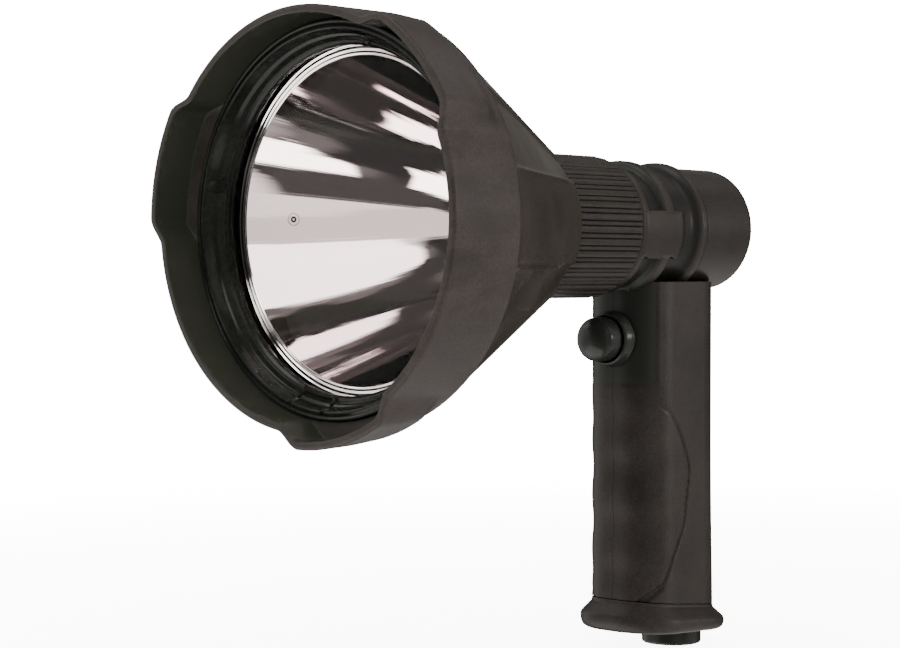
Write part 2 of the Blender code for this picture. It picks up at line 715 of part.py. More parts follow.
def make_handle_body():
    """Both handle halves in one: grip, saddle and collar, hollowed."""
    bottom = FOOT_TOP + TOUCH
    levels = np.linspace(bottom, GRIP_TOP, GRIP_LEVELS)
    rows = [sloped(grip_loop(bottom), FOOT_TOP_SLOPE)] + [grip_loop(height) for height in levels[1:]]
    body = skin("handle", rows, SHELL_BLACK)
    collar_end = RING_PLACE + COLLAR_END
    saddle_top = AXIS_HEIGHT - SADDLE_TOP
    saddle_back = collar_end - OVERRUN
    saddle = skin("handle_saddle", [
        rounded_loop(GRIP_WIDTH, GRIP_FRONT, saddle_back + GRIP_CORNER, GRIP_CORNER, height)
        for height in (GRIP_TOP - GRIP_CORNER, saddle_top)], SHELL_BLACK)
    behind = box("handle_saddle_trim", (-GRIP_WIDTH, saddle_back, GRIP_TOP - CAP_CLEAR),
                 (GRIP_WIDTH, saddle_back + 2.0 * GRIP_CORNER, AXIS_HEIGHT), SHELL_BLACK)
    combine(saddle, behind, "DIFFERENCE")
    combine(body, saddle, "UNION")
    combine(body, make_collar(), "UNION")
    combine(body, make_collar_pads(), "UNION")
    hollow_foot = FOOT_TOP - GRIP_DEPTH * FOOT_TOP_SLOPE
    hollow = skin("handle_hollow", [
        hollow_loop(0.0, height) for height in (hollow_foot, GRIP_TOP - GRIP_WALL)], SHELL_BLACK)
    combine(body, hollow, "DIFFERENCE")
    combine(body, make_nut_seat(), "UNION")
    bulkhead_front = COLLAR_END - BULKHEAD
    bore = rod("handle_bore", TUBE_RADIUS + TOUCH, COLLAR_FRONT - OVERRUN, bulkhead_front, SHELL_BLACK,
               BARREL, 40)
    combine(body, bore, "DIFFERENCE")
    bushing = rod("handle_bushing_hole", BUSHING_RADIUS + TOUCH, bulkhead_front - OVERRUN,
                  COLLAR_END + OVERRUN, SHELL_BLACK, BARREL)
    combine(body, bushing, "DIFFERENCE")
    return body


def make_nut_seat():
    """A flat boss behind the button's hole, for its nut, that stays inside the grip's surface."""
    seat = rod("handle_nut_seat", BUTTON_NUT_RADIUS + NUT_SEAT_RIM, EDGE, NUT_SEAT_DEPTH, SHELL_BLACK,
               (0.0, GRIP_FRONT, BUTTON_HEIGHT))
    keep_inside_grip(seat)
    return seat


def keep_inside_grip(piece):
    """Trim a boss to the middle of the grip's wall."""
    inset = GRIP_WALL / 2.0
    within = skin(f"{piece.name}_limit", [
        rounded_loop(GRIP_WIDTH - 2.0 * inset, GRIP_FRONT + inset, GRIP_MIDDLE + GRIP_DEPTH / 2.0 - inset,
                     GRIP_CORNER - inset, height) for height in (FOOT_TOP, GRIP_TOP - inset)], SHELL_BLACK)
    combine(piece, within, "INTERSECT")


def make_collar():
    """Turned collar with two finned grooves and a rear flange."""
    floor = COLLAR_RADIUS - FIN_DEPTH
    ramp = FIN_DEPTH / 2.0
    outline = [
        (COLLAR_RADIUS - EDGE, COLLAR_FRONT), (COLLAR_RADIUS, COLLAR_FRONT + EDGE),
        (COLLAR_RADIUS, FIN_ONE_END), (floor, FIN_ONE_END + ramp),
        (floor, FIN_TWO_START - ramp), (COLLAR_RADIUS, FIN_TWO_START),
        (COLLAR_RADIUS, FIN_TWO_END), (floor, FIN_TWO_END + ramp),
        (floor, FLANGE_START - ramp), (COLLAR_RADIUS, FLANGE_START),
        (COLLAR_RADIUS, COLLAR_END - EDGE), (COLLAR_RADIUS - EDGE, COLLAR_END),
    ]
    return turned("handle_collar", outline, SHELL_BLACK, 48, bored=False)


def make_collar_pads():
    """The smooth pad across both sides of the collar."""
    reach = COLLAR_RADIUS + COLLAR_PAD_STAND
    front = COLLAR_FRONT + COLLAR_PAD_INSET
    pads = rod("handle_collar_pads", reach, front, front + COLLAR_PAD_LENGTH, SHELL_BLACK, BARREL, 48)
    above = box("handle_pads_above", (-2.0 * reach, 0.0, COLLAR_PAD_TOP),
                (2.0 * reach, COLLAR_END, 2.0 * reach), SHELL_BLACK, BARREL)
    below = box("handle_pads_below", (-2.0 * reach, 0.0, -2.0 * reach),
                (2.0 * reach, COLLAR_END, -COLLAR_PAD_BOTTOM), SHELL_BLACK, BARREL)
    combine(pads, above, "DIFFERENCE")
    combine(pads, below, "DIFFERENCE")
    return pads


def side_hoop(radius, across, steps):
    """A circle of points about the X axis."""
    turn = around(steps)
    return np.stack([np.full(steps, across), radius * np.cos(turn), radius * np.sin(turn)], axis=1)


def make_handle_halves():
    """Cut the handle body in two and add the screw bosses and holes."""
    body = guide(make_handle_body())
    wide = GRIP_WIDTH + 2.0 * COLLAR_RADIUS
    button_at = (0.0, GRIP_FRONT, BUTTON_HEIGHT)
    for name, side in (("handle_left", -1), ("handle_right", 1)):
        half = place(name, body.data.copy(), SHELL_BLACK, (0.0, 0.0, 0.0))
        half.data.materials.pop(index=0)
        for step in body.modifiers:
            copy = half.modifiers.new(step.name, "BOOLEAN")
            copy.operation = step.operation
            copy.solver = "EXACT"
            copy.object = step.object
        for number, (along, height) in enumerate(BOSS_PLACES, start=1):
            spot = (0.0, along, height)
            outer = side * (GRIP_WIDTH / 2.0 - GRIP_WALL / 2.0)
            boss = rod(f"{name}_boss_{number}", BOSS_RADIUS, outer, side * TOUCH / 2.0, SHELL_BLACK, spot, 16,
                       side_hoop)
            keep_inside_grip(boss)
            combine(half, boss, "UNION")
        other = box(f"{name}_split", (side * TOUCH / 2.0, -2.0 * wide, -wide),
                    (-side * wide, 2.0 * wide, 4.0 * wide), SHELL_BLACK)
        combine(half, other, "DIFFERENCE")
        hole = rod(f"{name}_button_hole", STEM_RADIUS + TOUCH, -OVERRUN, GRIP_WALL + GRIP_CORNER, SHELL_BLACK,
                   button_at)
        combine(half, hole, "DIFFERENCE")
        drill_for_screws(half, name, side)


def drill_for_screws(half, name, side):
    """Clearance holes and head pockets on the left, blind holes on the right."""
    surface = GRIP_WIDTH / 2.0
    head_seat = surface - GRIP_WALL
    shank = SCREW_RADIUS + TOUCH
    for number, (along, height) in enumerate(SCREW_PLACES, start=1):
        spot = (0.0, along, height)
        low, high = -OVERRUN, SCREW_LENGTH - head_seat + TOUCH
        if side < 0:
            pocket = rod(f"{name}_pocket_{number}", SCREW_HEAD_RADIUS + TOUCH, -surface - OVERRUN, -head_seat,
                         SHELL_BLACK, spot, 16, side_hoop)
            combine(half, pocket, "DIFFERENCE")
            low, high = -surface, OVERRUN
        drill = rod(f"{name}_drill_{number}", shank, low, high, SHELL_BLACK, spot, 12, side_hoop)
        combine(half, drill, "DIFFERENCE")


def make_handle_screws():
    """Pan-head screws with six-sided sockets, from the left side."""
    seat = -(GRIP_WIDTH / 2.0 - GRIP_WALL) - TOUCH
    top = seat - SCREW_HEAD_HEIGHT
    key_depth = SCREW_HEAD_HEIGHT * SOCKET_SHARE
    outline = [(SCREW_RADIUS, seat + SCREW_LENGTH), (SCREW_RADIUS, seat), (SCREW_HEAD_RADIUS, seat),
               (SCREW_HEAD_RADIUS, top)]
    for number, (along, height) in enumerate(SCREW_PLACES, start=1):
        name = f"handle_screw_{number}"
        spot = (0.0, along, height)
        screw = turned(name, outline, STEEL, 12, bored=False, at=spot, loop=side_hoop)
        socket = rod(f"{name}_socket", SCREW_HEAD_RADIUS * SOCKET_SHARE, top - OVERRUN, top + key_depth,
                     STEEL, spot, 6, side_hoop)
        combine(screw, socket, "DIFFERENCE")


# Foot with the charging port and its plug

def make_foot():
    rows = []
    for level_share, spread_share in FLARE_SHARES:
        slope = FOOT_BOTTOM_SLOPE + (FOOT_TOP_SLOPE - FOOT_BOTTOM_SLOPE) * level_share
        outline = foot_loop(FOOT_BOTTOM + FOOT_HEIGHT * level_share, FOOT_FLARE * spread_share)
        rows.append(sloped(outline, slope))
    foot = skin("foot_cap", rows, SHELL_BLACK)
    floor = FOOT_BOTTOM + FOOT_FLOOR
    spigot = skin("foot_cap_spigot", [
        hollow_loop(TOUCH, height) for height in (floor, SPIGOT_TOP)], SHELL_BLACK)
    combine(foot, spigot, "UNION")
    hollow = skin("foot_cap_hollow", [
        hollow_loop(SPIGOT_WALL, height) for height in (floor, SPIGOT_TOP + OVERRUN)], SHELL_BLACK)
    combine(foot, hollow, "DIFFERENCE")
    port = rod("foot_cap_port", SOCKET_RADIUS + TOUCH, FOOT_BOTTOM - OVERRUN, FOOT_TOP, SHELL_BLACK,
               (0.0, 0.0, 0.0), 24, upright_hoop)
    combine(foot, port, "DIFFERENCE")


def foot_loop(height, spread):
    """The grip's outline at the foot, spread outwards for the flare."""
    front = GRIP_FRONT - spread
    back = GRIP_MIDDLE + GRIP_DEPTH / 2.0 + HEEL_BACK + spread
    return rounded_loop(GRIP_WIDTH + 2.0 * spread, front, back, GRIP_CORNER + spread, height)


def make_port():
    turned("port_plug", [
        (PLUG_RADIUS - EDGE, 0.0), (PLUG_RADIUS, EDGE), (PLUG_RADIUS, PLUG_HEAD),
        (PLUG_STEM_RADIUS, PLUG_HEAD), (PLUG_STEM_RADIUS, PLUG_HEAD + PLUG_STEM_LENGTH),
    ], RUBBER_BLACK, 28, bored=False, at=(0.0, 0.0, 0.0), loop=upright_hoop)
    low = PLUG_HEAD + TOUCH
    high = low + SOCKET_LENGTH
    socket = rod("charge_socket", SOCKET_RADIUS, low, high + SOCKET_FLOOR, INNER_BLACK, (0.0, 0.0, 0.0),
                 20, upright_hoop)
    bore = rod("charge_socket_bore", PLUG_STEM_RADIUS + TOUCH, low - OVERRUN, high, INNER_BLACK,
               (0.0, 0.0, 0.0), 20, upright_hoop)
    combine(socket, bore, "DIFFERENCE")


# Push button

def make_button():
    spot = (0.0, GRIP_FRONT, BUTTON_HEIGHT)
    bore = BUTTON_CAP_RADIUS + RUNNING
    face = -TOUCH
    rim = -BUTTON_RING_STAND
    turned("button_ring", [
        (bore, rim), (bore + EDGE, rim - EDGE), (BUTTON_RING_RADIUS - 2.0 * EDGE, rim - EDGE),
        (BUTTON_RING_RADIUS, rim + EDGE), (BUTTON_RING_RADIUS, face), (STEM_RADIUS, face),
        (STEM_RADIUS, STEM_DEPTH), (bore, STEM_DEPTH),
    ], RUBBER_BLACK, 28, at=spot)
    base = BUTTON_CAP_SINK
    shoulder = -BUTTON_CAP_STAND
    outline = [(BUTTON_CAP_RADIUS, base), (BUTTON_CAP_RADIUS, shoulder)]
    for rise in np.radians((25.0, 50.0, 75.0)):
        outline.append((BUTTON_CAP_RADIUS * math.cos(rise), shoulder - BUTTON_DOME_HEIGHT * math.sin(rise)))
    turned("button_cap", outline, RUBBER_BLACK, 24, bored=False, at=spot)
    nut_front = NUT_SEAT_DEPTH + TOUCH
    nut_back = nut_front + BUTTON_NUT_HEIGHT
    turned("button_nut", [
        (STEM_RADIUS + TOUCH, nut_front), (BUTTON_NUT_RADIUS, nut_front), (BUTTON_NUT_RADIUS, nut_back),
        (STEM_RADIUS + TOUCH, nut_back),
    ], STEEL, 24, at=spot)
    switch_front = STEM_DEPTH + TOUCH
    plunger_tip = base + BUTTON_TRAVEL + TOUCH
    turned("switch_body", [
        (PLUNGER_RADIUS, plunger_tip), (PLUNGER_RADIUS, switch_front), (STEM_RADIUS, switch_front),
        (STEM_RADIUS, switch_front + SWITCH_LENGTH),
    ], INNER_BLACK, 24, bored=False, at=spot)
    make_spring(spot, base + TOUCH + SPRING_WIRE, switch_front - TOUCH - SPRING_WIRE)


def make_spring(spot, front, back):
    """The return spring round the plunger, one wire wound as a helix."""
    per_turn = 9
    count = SPRING_TURNS * per_turn + 1
    share = np.linspace(0.0, 1.0, count)
    turn = share * SPRING_TURNS * 2.0 * math.pi
    along = front + (back - front) * share
    points = np.stack([SPRING_RADIUS * np.cos(turn), along, SPRING_RADIUS * np.sin(turn)], axis=1)
    curve = bpy.data.curves.new("button_spring", "CURVE")
    curve.dimensions = "3D"
    spline = curve.splines.new("POLY")
    spline.points.add(count - 1)
    for point, (x, y, z) in zip(spline.points, points):
        point.co = (x, y, z, 1.0)
    curve.bevel_depth = SPRING_WIRE
    curve.bevel_resolution = 1
    curve.use_fill_caps = True
    curve.materials.append(finish_of(STEEL, "button_spring"))
    spring = bpy.data.objects.new("button_spring", curve)
    spring.location = spot
    bpy.context.scene.collection.objects.link(spring)


# Battery cells in their tray

def make_battery():
    half_gap = CELL_RADIUS + TOUCH / 2.0
    for number, side in ((1, -1.0), (2, 1.0)):
        spot = (0.0, HOLLOW_MIDDLE + side * half_gap, CELL_FOOT)
        can_top = CELL_LENGTH - CELL_TIP_HEIGHT
        turned(f"battery_cell_{number}", [
            (CELL_RADIUS - EDGE, 0.0), (CELL_RADIUS, EDGE), (CELL_RADIUS, can_top - EDGE),
            (CELL_RADIUS - EDGE, can_top), (CELL_TIP_RADIUS, can_top), (CELL_TIP_RADIUS, CELL_LENGTH),
        ], CELL_BLUE, 24, bored=False, at=spot, loop=upright_hoop)
        strip_low = CELL_TOP + TOUCH
        across = STRIP_WIDTH / 2.0
        middle = HOLLOW_MIDDLE + side * half_gap
        box(f"terminal_strip_{number}", (-across, middle - across, strip_low),
            (across, middle + across, strip_low + STRIP_THICKNESS), NICKEL)
    strip_top = CELL_FOOT - TOUCH
    across = STRIP_WIDTH / 2.0
    reach = half_gap + across
    box("bridge_strip", (-across, HOLLOW_MIDDLE - reach, strip_top - STRIP_THICKNESS),
        (across, HOLLOW_MIDDLE + reach, strip_top), NICKEL)
    make_tray(TRAY_FOOT + TRAY_WALL, TRAY_TOP - TRAY_WALL)


def make_tray(low, high):
    """A tray with two end plates and a back that stands against the left shell."""
    tray = skin("battery_tray", [
        hollow_loop(TOUCH, height) for height in (low - TRAY_WALL, high + TRAY_WALL)], INNER_BLACK)
    room = box("battery_tray_room", (-CELL_RADIUS - TOUCH, HOLLOW_MIDDLE - GRIP_DEPTH, low),
               (GRIP_WIDTH, HOLLOW_MIDDLE + GRIP_DEPTH, high), INNER_BLACK)
    combine(tray, room, "DIFFERENCE")


# Dimmer and rear cap

def make_dimmer():
    front = COLLAR_END - BULKHEAD - TOUCH - POT_LENGTH
    back = front + POT_LENGTH
    shaft_room = SHAFT_RADIUS + TOUCH
    root = back - SHAFT_ROOT
    turned("dimmer_pot", [
        (POT_RADIUS, front), (POT_RADIUS, back), (BUSHING_RADIUS, back),
        (BUSHING_RADIUS, COLLAR_END + BUSHING_STAND), (shaft_room, COLLAR_END + BUSHING_STAND),
        (shaft_room, root - TOUCH),
    ], STEEL, 24, bored=False)
    nut_front = COLLAR_END + TOUCH
    nut_back = nut_front + NUT_HEIGHT
    nut = rod("dimmer_nut", NUT_RADIUS, nut_front, nut_back, STEEL, BARREL, 6)
    nut_bore = rod("dimmer_nut_bore", BUSHING_RADIUS + TOUCH, nut_front - OVERRUN, nut_back + OVERRUN,
                   STEEL, BARREL)
    combine(nut, nut_bore, "DIFFERENCE")
    hub_front = COLLAR_END + BUSHING_STAND + HUB_GAP
    cap_front = COLLAR_END + RUNNING
    cap_end = COLLAR_END + CAP_LENGTH
    shaft_end = cap_end - CAP_WALL - TOUCH
    rod("dimmer_shaft", SHAFT_RADIUS, root, shaft_end, STEEL, BARREL, 20)
    turned("rear_cap", [
        (CAP_RADIUS - CAP_ROUND, cap_end), (CAP_RADIUS, cap_end - CAP_ROUND), (CAP_RADIUS, cap_front),
        (CAP_RADIUS - CAP_WALL, cap_front), (CAP_RADIUS - CAP_WALL, cap_end - CAP_WALL),
        (HUB_RADIUS, cap_end - CAP_WALL), (HUB_RADIUS, hub_front), (SHAFT_RADIUS + TOUCH, hub_front),
        (SHAFT_RADIUS + TOUCH, cap_end - CAP_WALL),
    ], SHELL_BLACK, 40, bored=False)


# Driver board across the neck tube

def make_driver():
    radius = TUBE_BORE - TOUCH
    front = TUBE_END - DRIVER_BEFORE_END
    back = front + DRIVER_THICKNESS
    board = rod("driver_board", radius, front, back, BOARD_GREEN, BARREL, 32)
    coil = rod("driver_coil", COIL_RADIUS, back - DRIVER_THICKNESS / 2.0, back + COIL_HEIGHT, BOARD_GREEN,
               (PART_OFFSET, RING_PLACE, AXIS_HEIGHT), 16)
    half = CHIP_SIDE / 2.0
    chip = box("driver_chip", (-PART_OFFSET - half, back - DRIVER_THICKNESS / 2.0, -half),
               (-PART_OFFSET + half, back + CHIP_HEIGHT, half), BOARD_GREEN, BARREL)
    combine(board, coil, "UNION")
    combine(board, chip, "UNION")


make_bumper()
make_bezel()
make_lens()
make_gasket()
make_reflector()
make_head_shell()
make_neck_tube()
make_seals()
make_focus_ring()
make_light_engine()
make_handle_halves()
make_handle_screws()
make_foot()
make_port()
make_button()
make_battery()
make_dimmer()
make_driver()
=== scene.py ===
# %% [markdown]
# # A pistol-grip LED torch, dressed for the camera
#
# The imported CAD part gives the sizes. This lesson builds fine surfaces over it with numpy arrays, paints them
# with procedural materials and lights them like a product shot. Each curve is a formula of an angle and a
# distance, so a size can be read off and changed.

# %% Load the frame
import math

import bpy
import numpy as np
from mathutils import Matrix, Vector


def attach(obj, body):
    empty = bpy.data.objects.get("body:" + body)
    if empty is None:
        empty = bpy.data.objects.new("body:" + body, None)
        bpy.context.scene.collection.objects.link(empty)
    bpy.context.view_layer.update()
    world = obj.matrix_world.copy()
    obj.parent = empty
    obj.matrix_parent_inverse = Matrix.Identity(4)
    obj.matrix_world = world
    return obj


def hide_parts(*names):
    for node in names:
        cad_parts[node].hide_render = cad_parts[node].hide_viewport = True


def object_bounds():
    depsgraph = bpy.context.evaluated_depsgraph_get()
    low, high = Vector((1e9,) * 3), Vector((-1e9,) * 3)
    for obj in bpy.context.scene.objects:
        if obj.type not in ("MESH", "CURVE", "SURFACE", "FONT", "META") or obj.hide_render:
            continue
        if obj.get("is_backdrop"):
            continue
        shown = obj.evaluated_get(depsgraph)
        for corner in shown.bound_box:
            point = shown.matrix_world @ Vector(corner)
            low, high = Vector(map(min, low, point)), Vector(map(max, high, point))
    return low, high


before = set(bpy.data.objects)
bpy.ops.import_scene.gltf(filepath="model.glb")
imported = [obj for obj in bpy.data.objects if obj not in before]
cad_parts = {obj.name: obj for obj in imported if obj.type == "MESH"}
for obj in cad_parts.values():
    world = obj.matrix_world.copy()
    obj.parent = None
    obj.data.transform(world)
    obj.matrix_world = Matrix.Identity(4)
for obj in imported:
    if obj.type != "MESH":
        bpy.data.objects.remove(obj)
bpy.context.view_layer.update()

# %% [markdown]
# ## The torch's own frame
#
# The barrel's axis is a line along Y. A point on the barrel is given by a radius, a distance behind the plane
# of the bright ring, and a turn from +X towards +Z. The button, the plug and the screws have their own axes,
# so one function serves them all. Profiles and marks are in mm, and MM turns them to metres.

# %% Sizes shared by several pieces
MM = 0.001
TAU = 2 * math.pi
AXIS_HEIGHT = 140 * MM
RING_PLACE = -149 * MM
GRIP_MIDDLE = -11 * MM
GRIP_FRONT = -32 * MM
BUTTON_HEIGHT = 103.5 * MM


def round_axis(axis, y=0, z=0):
    """Places round a line along X, Y or Z through y and z. The distance along it is one coordinate. The
    other two, in order, are the radius times the cosine and the sine of the turn."""
    def place(radius, along, turn):
        radius, along, turn = np.broadcast_arrays(radius, along, turn)
        parts = [radius * np.cos(turn), radius * np.sin(turn)]
        parts.insert("XYZ".index(axis), along)
        return np.stack(parts, axis=-1) + (0, y, z)
    return place


barrel_point = round_axis("Y", RING_PLACE, AXIS_HEIGHT)
button_point = round_axis("Y", GRIP_FRONT, BUTTON_HEIGHT)
plug_point = round_axis("Z")


def eased(value):
    """A step from 0 to 1 with soft ends: three times the square less twice the cube."""
    share = np.clip(value, 0, 1)
    return share * share * (3 - 2 * share)


def hill(value, middle, half_width):
    """A smooth bump of height 1 at the middle that reaches 0 half a width away."""
    share = np.clip(np.abs(value - middle) / half_width, 0, 1)
    return 0.5 + 0.5 * np.cos(math.pi * share)


def wrapped(value, period=TAU):
    """The same place in a repeating pattern, between minus and plus half a period."""
    return (value + period / 2) % period - period / 2


# %% [markdown]
# ## From arrays to meshes
#
# A surface is a grid of points. Rows that close on themselves make a tube, and a grid that closes both ways
# is a solid skin with no ends. Normals are turned outwards by the sign of the enclosed volume.

# %% Grid surfaces
SHARP_EDGE = math.radians(34)


def softened(mesh):
    """Smooth shading between the sharp edges."""
    mesh.polygons.foreach_set("use_smooth", np.ones(len(mesh.polygons), bool))
    mesh.set_sharp_from_angle(angle=SHARP_EDGE)


def new_piece(name, points, *face_lists):
    """A mesh object from whole arrays, with its object at the origin."""
    corners = np.concatenate([faces.ravel() for faces in face_lists]).astype(np.int32)
    sizes = np.concatenate([np.full(len(faces), faces.shape[1]) for faces in face_lists])
    mesh = bpy.data.meshes.new(name)
    mesh.vertices.add(len(points))
    mesh.vertices.foreach_set("co", np.ascontiguousarray(points, np.float32).ravel())
    mesh.loops.add(len(corners))
    mesh.loops.foreach_set("vertex_index", corners)
    mesh.polygons.add(len(sizes))
    mesh.polygons.foreach_set("loop_start", (np.cumsum(sizes) - sizes).astype(np.int32))
    mesh.update(calc_edges=True)
    mesh.validate()
    softened(mesh)
    piece = bpy.data.objects.new(name, mesh)
    bpy.context.scene.collection.objects.link(piece)
    return piece


def enclosed(points, faces):
    """Six times the volume between the origin and a list of faces, from fans of triangles."""
    a, *others = (points[column] for column in faces.T)
    return sum(np.einsum("ij,ij->", a, np.cross(b, c)) for b, c in zip(others, others[1:]))


def shell_of(name, grid, loop=True):
    """A skin over a grid whose columns close. Its rows close too, or else its end rows are single points."""
    columns = grid.shape[1]
    body = grid if loop else grid[1:-1]
    points = body.reshape(-1, 3)
    row = np.arange(len(body) if loop else len(body) - 1)[:, None] * columns
    here = np.arange(columns)[None, :]
    there = np.roll(here, -1, axis=1)
    beyond = (row + columns) % len(points)
    lists = [np.stack([row + here, row + there, beyond + there, beyond + here], axis=-1).reshape(-1, 4)]
    if not loop:
        first, last, count = here[0], len(points) - columns + here[0], len(points)
        points = np.concatenate([points, grid[:1, 0], grid[-1:, 0]])
        lists.append(np.stack([np.full(columns, count), np.roll(first, -1), first], axis=-1))
        lists.append(np.stack([last, np.roll(last, -1), np.full(columns, count + 1)], axis=-1))
    middle = points.mean(axis=0)
    if sum(enclosed(points - middle, faces) for faces in lists) < 0:
        lists = [faces[:, ::-1] for faces in lists]
    return new_piece(name, points, *lists)


# %% [markdown]
# ## Profiles with soft corners
#
# Moulded plastic has no knife edges, because sharp corners crack and wear the mould. Each profile is a list
# of corners with a reach in mm. The reach says how far from the corner the rounding starts.

# %% Rounding a profile
SHORTEST = 1e-4


def rounded(corners, loop=True, steps=5, span=2):
    """A fine profile in metres. Near corner C the line is (1-t)^2 A + 2t(1-t) C + t^2 B, where A and B lie
    one reach before and after it, and long straights are split every span mm."""
    table = np.array(corners, float)
    spot, reach = table[:, :2], table[:, 2:].copy()
    before, after = np.roll(spot, 1, axis=0) - spot, np.roll(spot, -1, axis=0) - spot
    run_before = np.linalg.norm(before, axis=1, keepdims=True)
    run_after = np.linalg.norm(after, axis=1, keepdims=True)
    reach = np.minimum(reach, 0.45 * np.minimum(run_before, run_after))
    if not loop:
        reach[[0, -1]] = 0
    t = np.linspace(0, 1, steps)[None, :, None]
    a = (spot + before / run_before * reach)[:, None]
    b = (spot + after / run_after * reach)[:, None]
    line = ((1 - t) ** 2 * a + 2 * t * (1 - t) * spot[:, None] + t ** 2 * b).reshape(-1, 2)
    step = np.roll(line, -1, axis=0) - line
    if not loop:
        last = line[-1:]
        line, step = line[:-1], step[:-1]
    length = np.linalg.norm(step, axis=1)
    kept = length > SHORTEST
    line, step, length = line[kept], step[kept], length[kept]
    parts = np.maximum(1, np.ceil(length / span)).astype(int)
    index = np.arange(parts.sum()) - np.repeat(np.cumsum(parts) - parts, parts)
    fine = np.repeat(line, parts, axis=0) + np.repeat(step / parts[:, None], parts, axis=0) * index[:, None]
    return MM * (fine if loop else np.concatenate([fine, last]))


def lathe(name, corners, count=192, place=barrel_point, bend=None, loop=True, span=2):
    """A profile carried round an axis. A profile that isn't a loop starts and ends on the axis."""
    line = rounded(corners, loop, span=span)
    radius, along = line[:, :1], line[:, 1:]
    turn = np.linspace(0, TAU, count, endpoint=False)[None, :]
    if bend is not None:
        radius, along = bend(radius, along, turn)
    return shell_of(name, place(radius, along, turn), loop)


sample = rounded([(1, 0, 0.3), (2, 0, 0.3), (2, 4, 0.3), (1, 4, 0.3)])
print("profile helper ready:", len(sample), "points in a sample")

# %% [markdown]
# ## Materials
#
# A hex colour is what a screen shows, and a shader wants linear light, so one function converts them. Another
# adds a node with its settings and links, and the rest use it for arithmetic, noise and ramps. Scales are
# worked out from sizes in millimetres.

# %% Colour and node helpers
def linear(code):
    """Hex sRGB to linear: c/12.92 up to 0.04045, else ((c+0.055)/1.055) to the power 2.4."""
    c = np.array([int(code[i:i + 2], 16) for i in (1, 3, 5)]) / 255
    return (*np.where(c <= 0.04045, c / 12.92, ((c + 0.055) / 1.055) ** 2.4).tolist(), 1)


def add_node(tree, kind, inputs=None, **settings):
    """A node with its settings. Each input named here takes a value, or is fed by another node's output."""
    node = tree.nodes.new(kind)
    for key, value in settings.items():
        setattr(node, key, value)
    for key, value in (inputs or {}).items():
        if isinstance(value, bpy.types.NodeSocket):
            tree.links.new(value, node.inputs[key])
        else:
            node.inputs[key].default_value = value
    return node


def number(tree, operation, *terms):
    """One step of arithmetic on values or outputs."""
    return add_node(tree, "ShaderNodeMath", dict(enumerate(terms)), operation=operation).outputs[0]


def vector(tree, operation, *terms):
    """One step of arithmetic on vectors. A length, a distance or a dot product comes out as a number."""
    node = add_node(tree, "ShaderNodeVectorMath", dict(enumerate(terms)), operation=operation)
    return node.outputs["Value" if operation in ("LENGTH", "DISTANCE", "DOT_PRODUCT") else "Vector"]


def object_place(tree):
    """The shaded point in the object's own coordinates, which are metres from the frame's origin."""
    return add_node(tree, "ShaderNodeTexCoord").outputs["Object"]


def coordinate(tree, name):
    """X, Y or Z of the shaded point."""
    return add_node(tree, "ShaderNodeSeparateXYZ", {0: object_place(tree)}).outputs[name]


def noise(tree, place, scale, detail=2, roughness=0.5):
    """Fractal noise read at a place, about 0.5."""
    return add_node(tree, "ShaderNodeTexNoise", {"Vector": place, "Scale": scale, "Detail": detail,
                                                 "Roughness": roughness}).outputs["Fac"]


def remapped(tree, source, low, high, to_low, to_high, kind="LINEAR"):
    """The source's run from low to high made into a run between two other values, and held beyond it."""
    return add_node(tree, "ShaderNodeMapRange", {"Value": source, "From Min": low, "From Max": high,
                                                 "To Min": to_low, "To Max": to_high},
                    interpolation_type=kind).outputs[0]


def ramp(tree, source, low, high):
    """0 at the low value and 1 at the high one, with soft ends. Low may be the larger."""
    ends = (low, high, 0, 1) if low < high else (high, low, 1, 0)
    return remapped(tree, source, *ends, "SMOOTHSTEP")


def all_of(tree, product, *others):
    """The product of several masks."""
    for mask in others:
        product = number(tree, "MULTIPLY", product, mask)
    return product


def mixed(tree, share, first, second):
    """The first colour where the share is 0, and the second where it is 1."""
    return add_node(tree, "ShaderNodeMixRGB", {"Fac": share, "Color1": first, "Color2": second}).outputs[0]


def bump(tree, height, depth_mm):
    """A normal for relief of this depth."""
    return add_node(tree, "ShaderNodeBump", {"Height": height, "Strength": 1,
                                             "Distance": depth_mm * MM}).outputs[0]


def per_metre(size_mm):
    """A noise scale whose features are about this many millimetres apart."""
    return 1 / (size_mm * MM)


def new_finish(name, **settings):
    """A material with one Principled shader, whose uniform numbers sit on its own sockets."""
    finish = bpy.data.materials.new(name)
    finish.use_nodes = True
    shader = finish.node_tree.nodes["Principled BSDF"]
    for key, value in settings.items():
        shader.inputs[key.replace("_", " ")].default_value = value
    return finish, finish.node_tree, shader


def feed(tree, shader, **outputs):
    """Link outputs to the shader's sockets of these names."""
    for key, output in outputs.items():
        tree.links.new(output, shader.inputs[key.replace("_", " ")])


print("helpers ready; mid grey in linear light:", [round(v, 3) for v in linear("#808080")])

# %% [markdown]
# ## Moulded plastics
#
# The shells are ABS from a spark-eroded mould: nearly black, warm, with a satin skin. Under a soft light such
# a skin shows a fine grain, and a slow cloudiness where the melt cooled unevenly.

# %% Plastic finishes
CLOUD_MM = 22


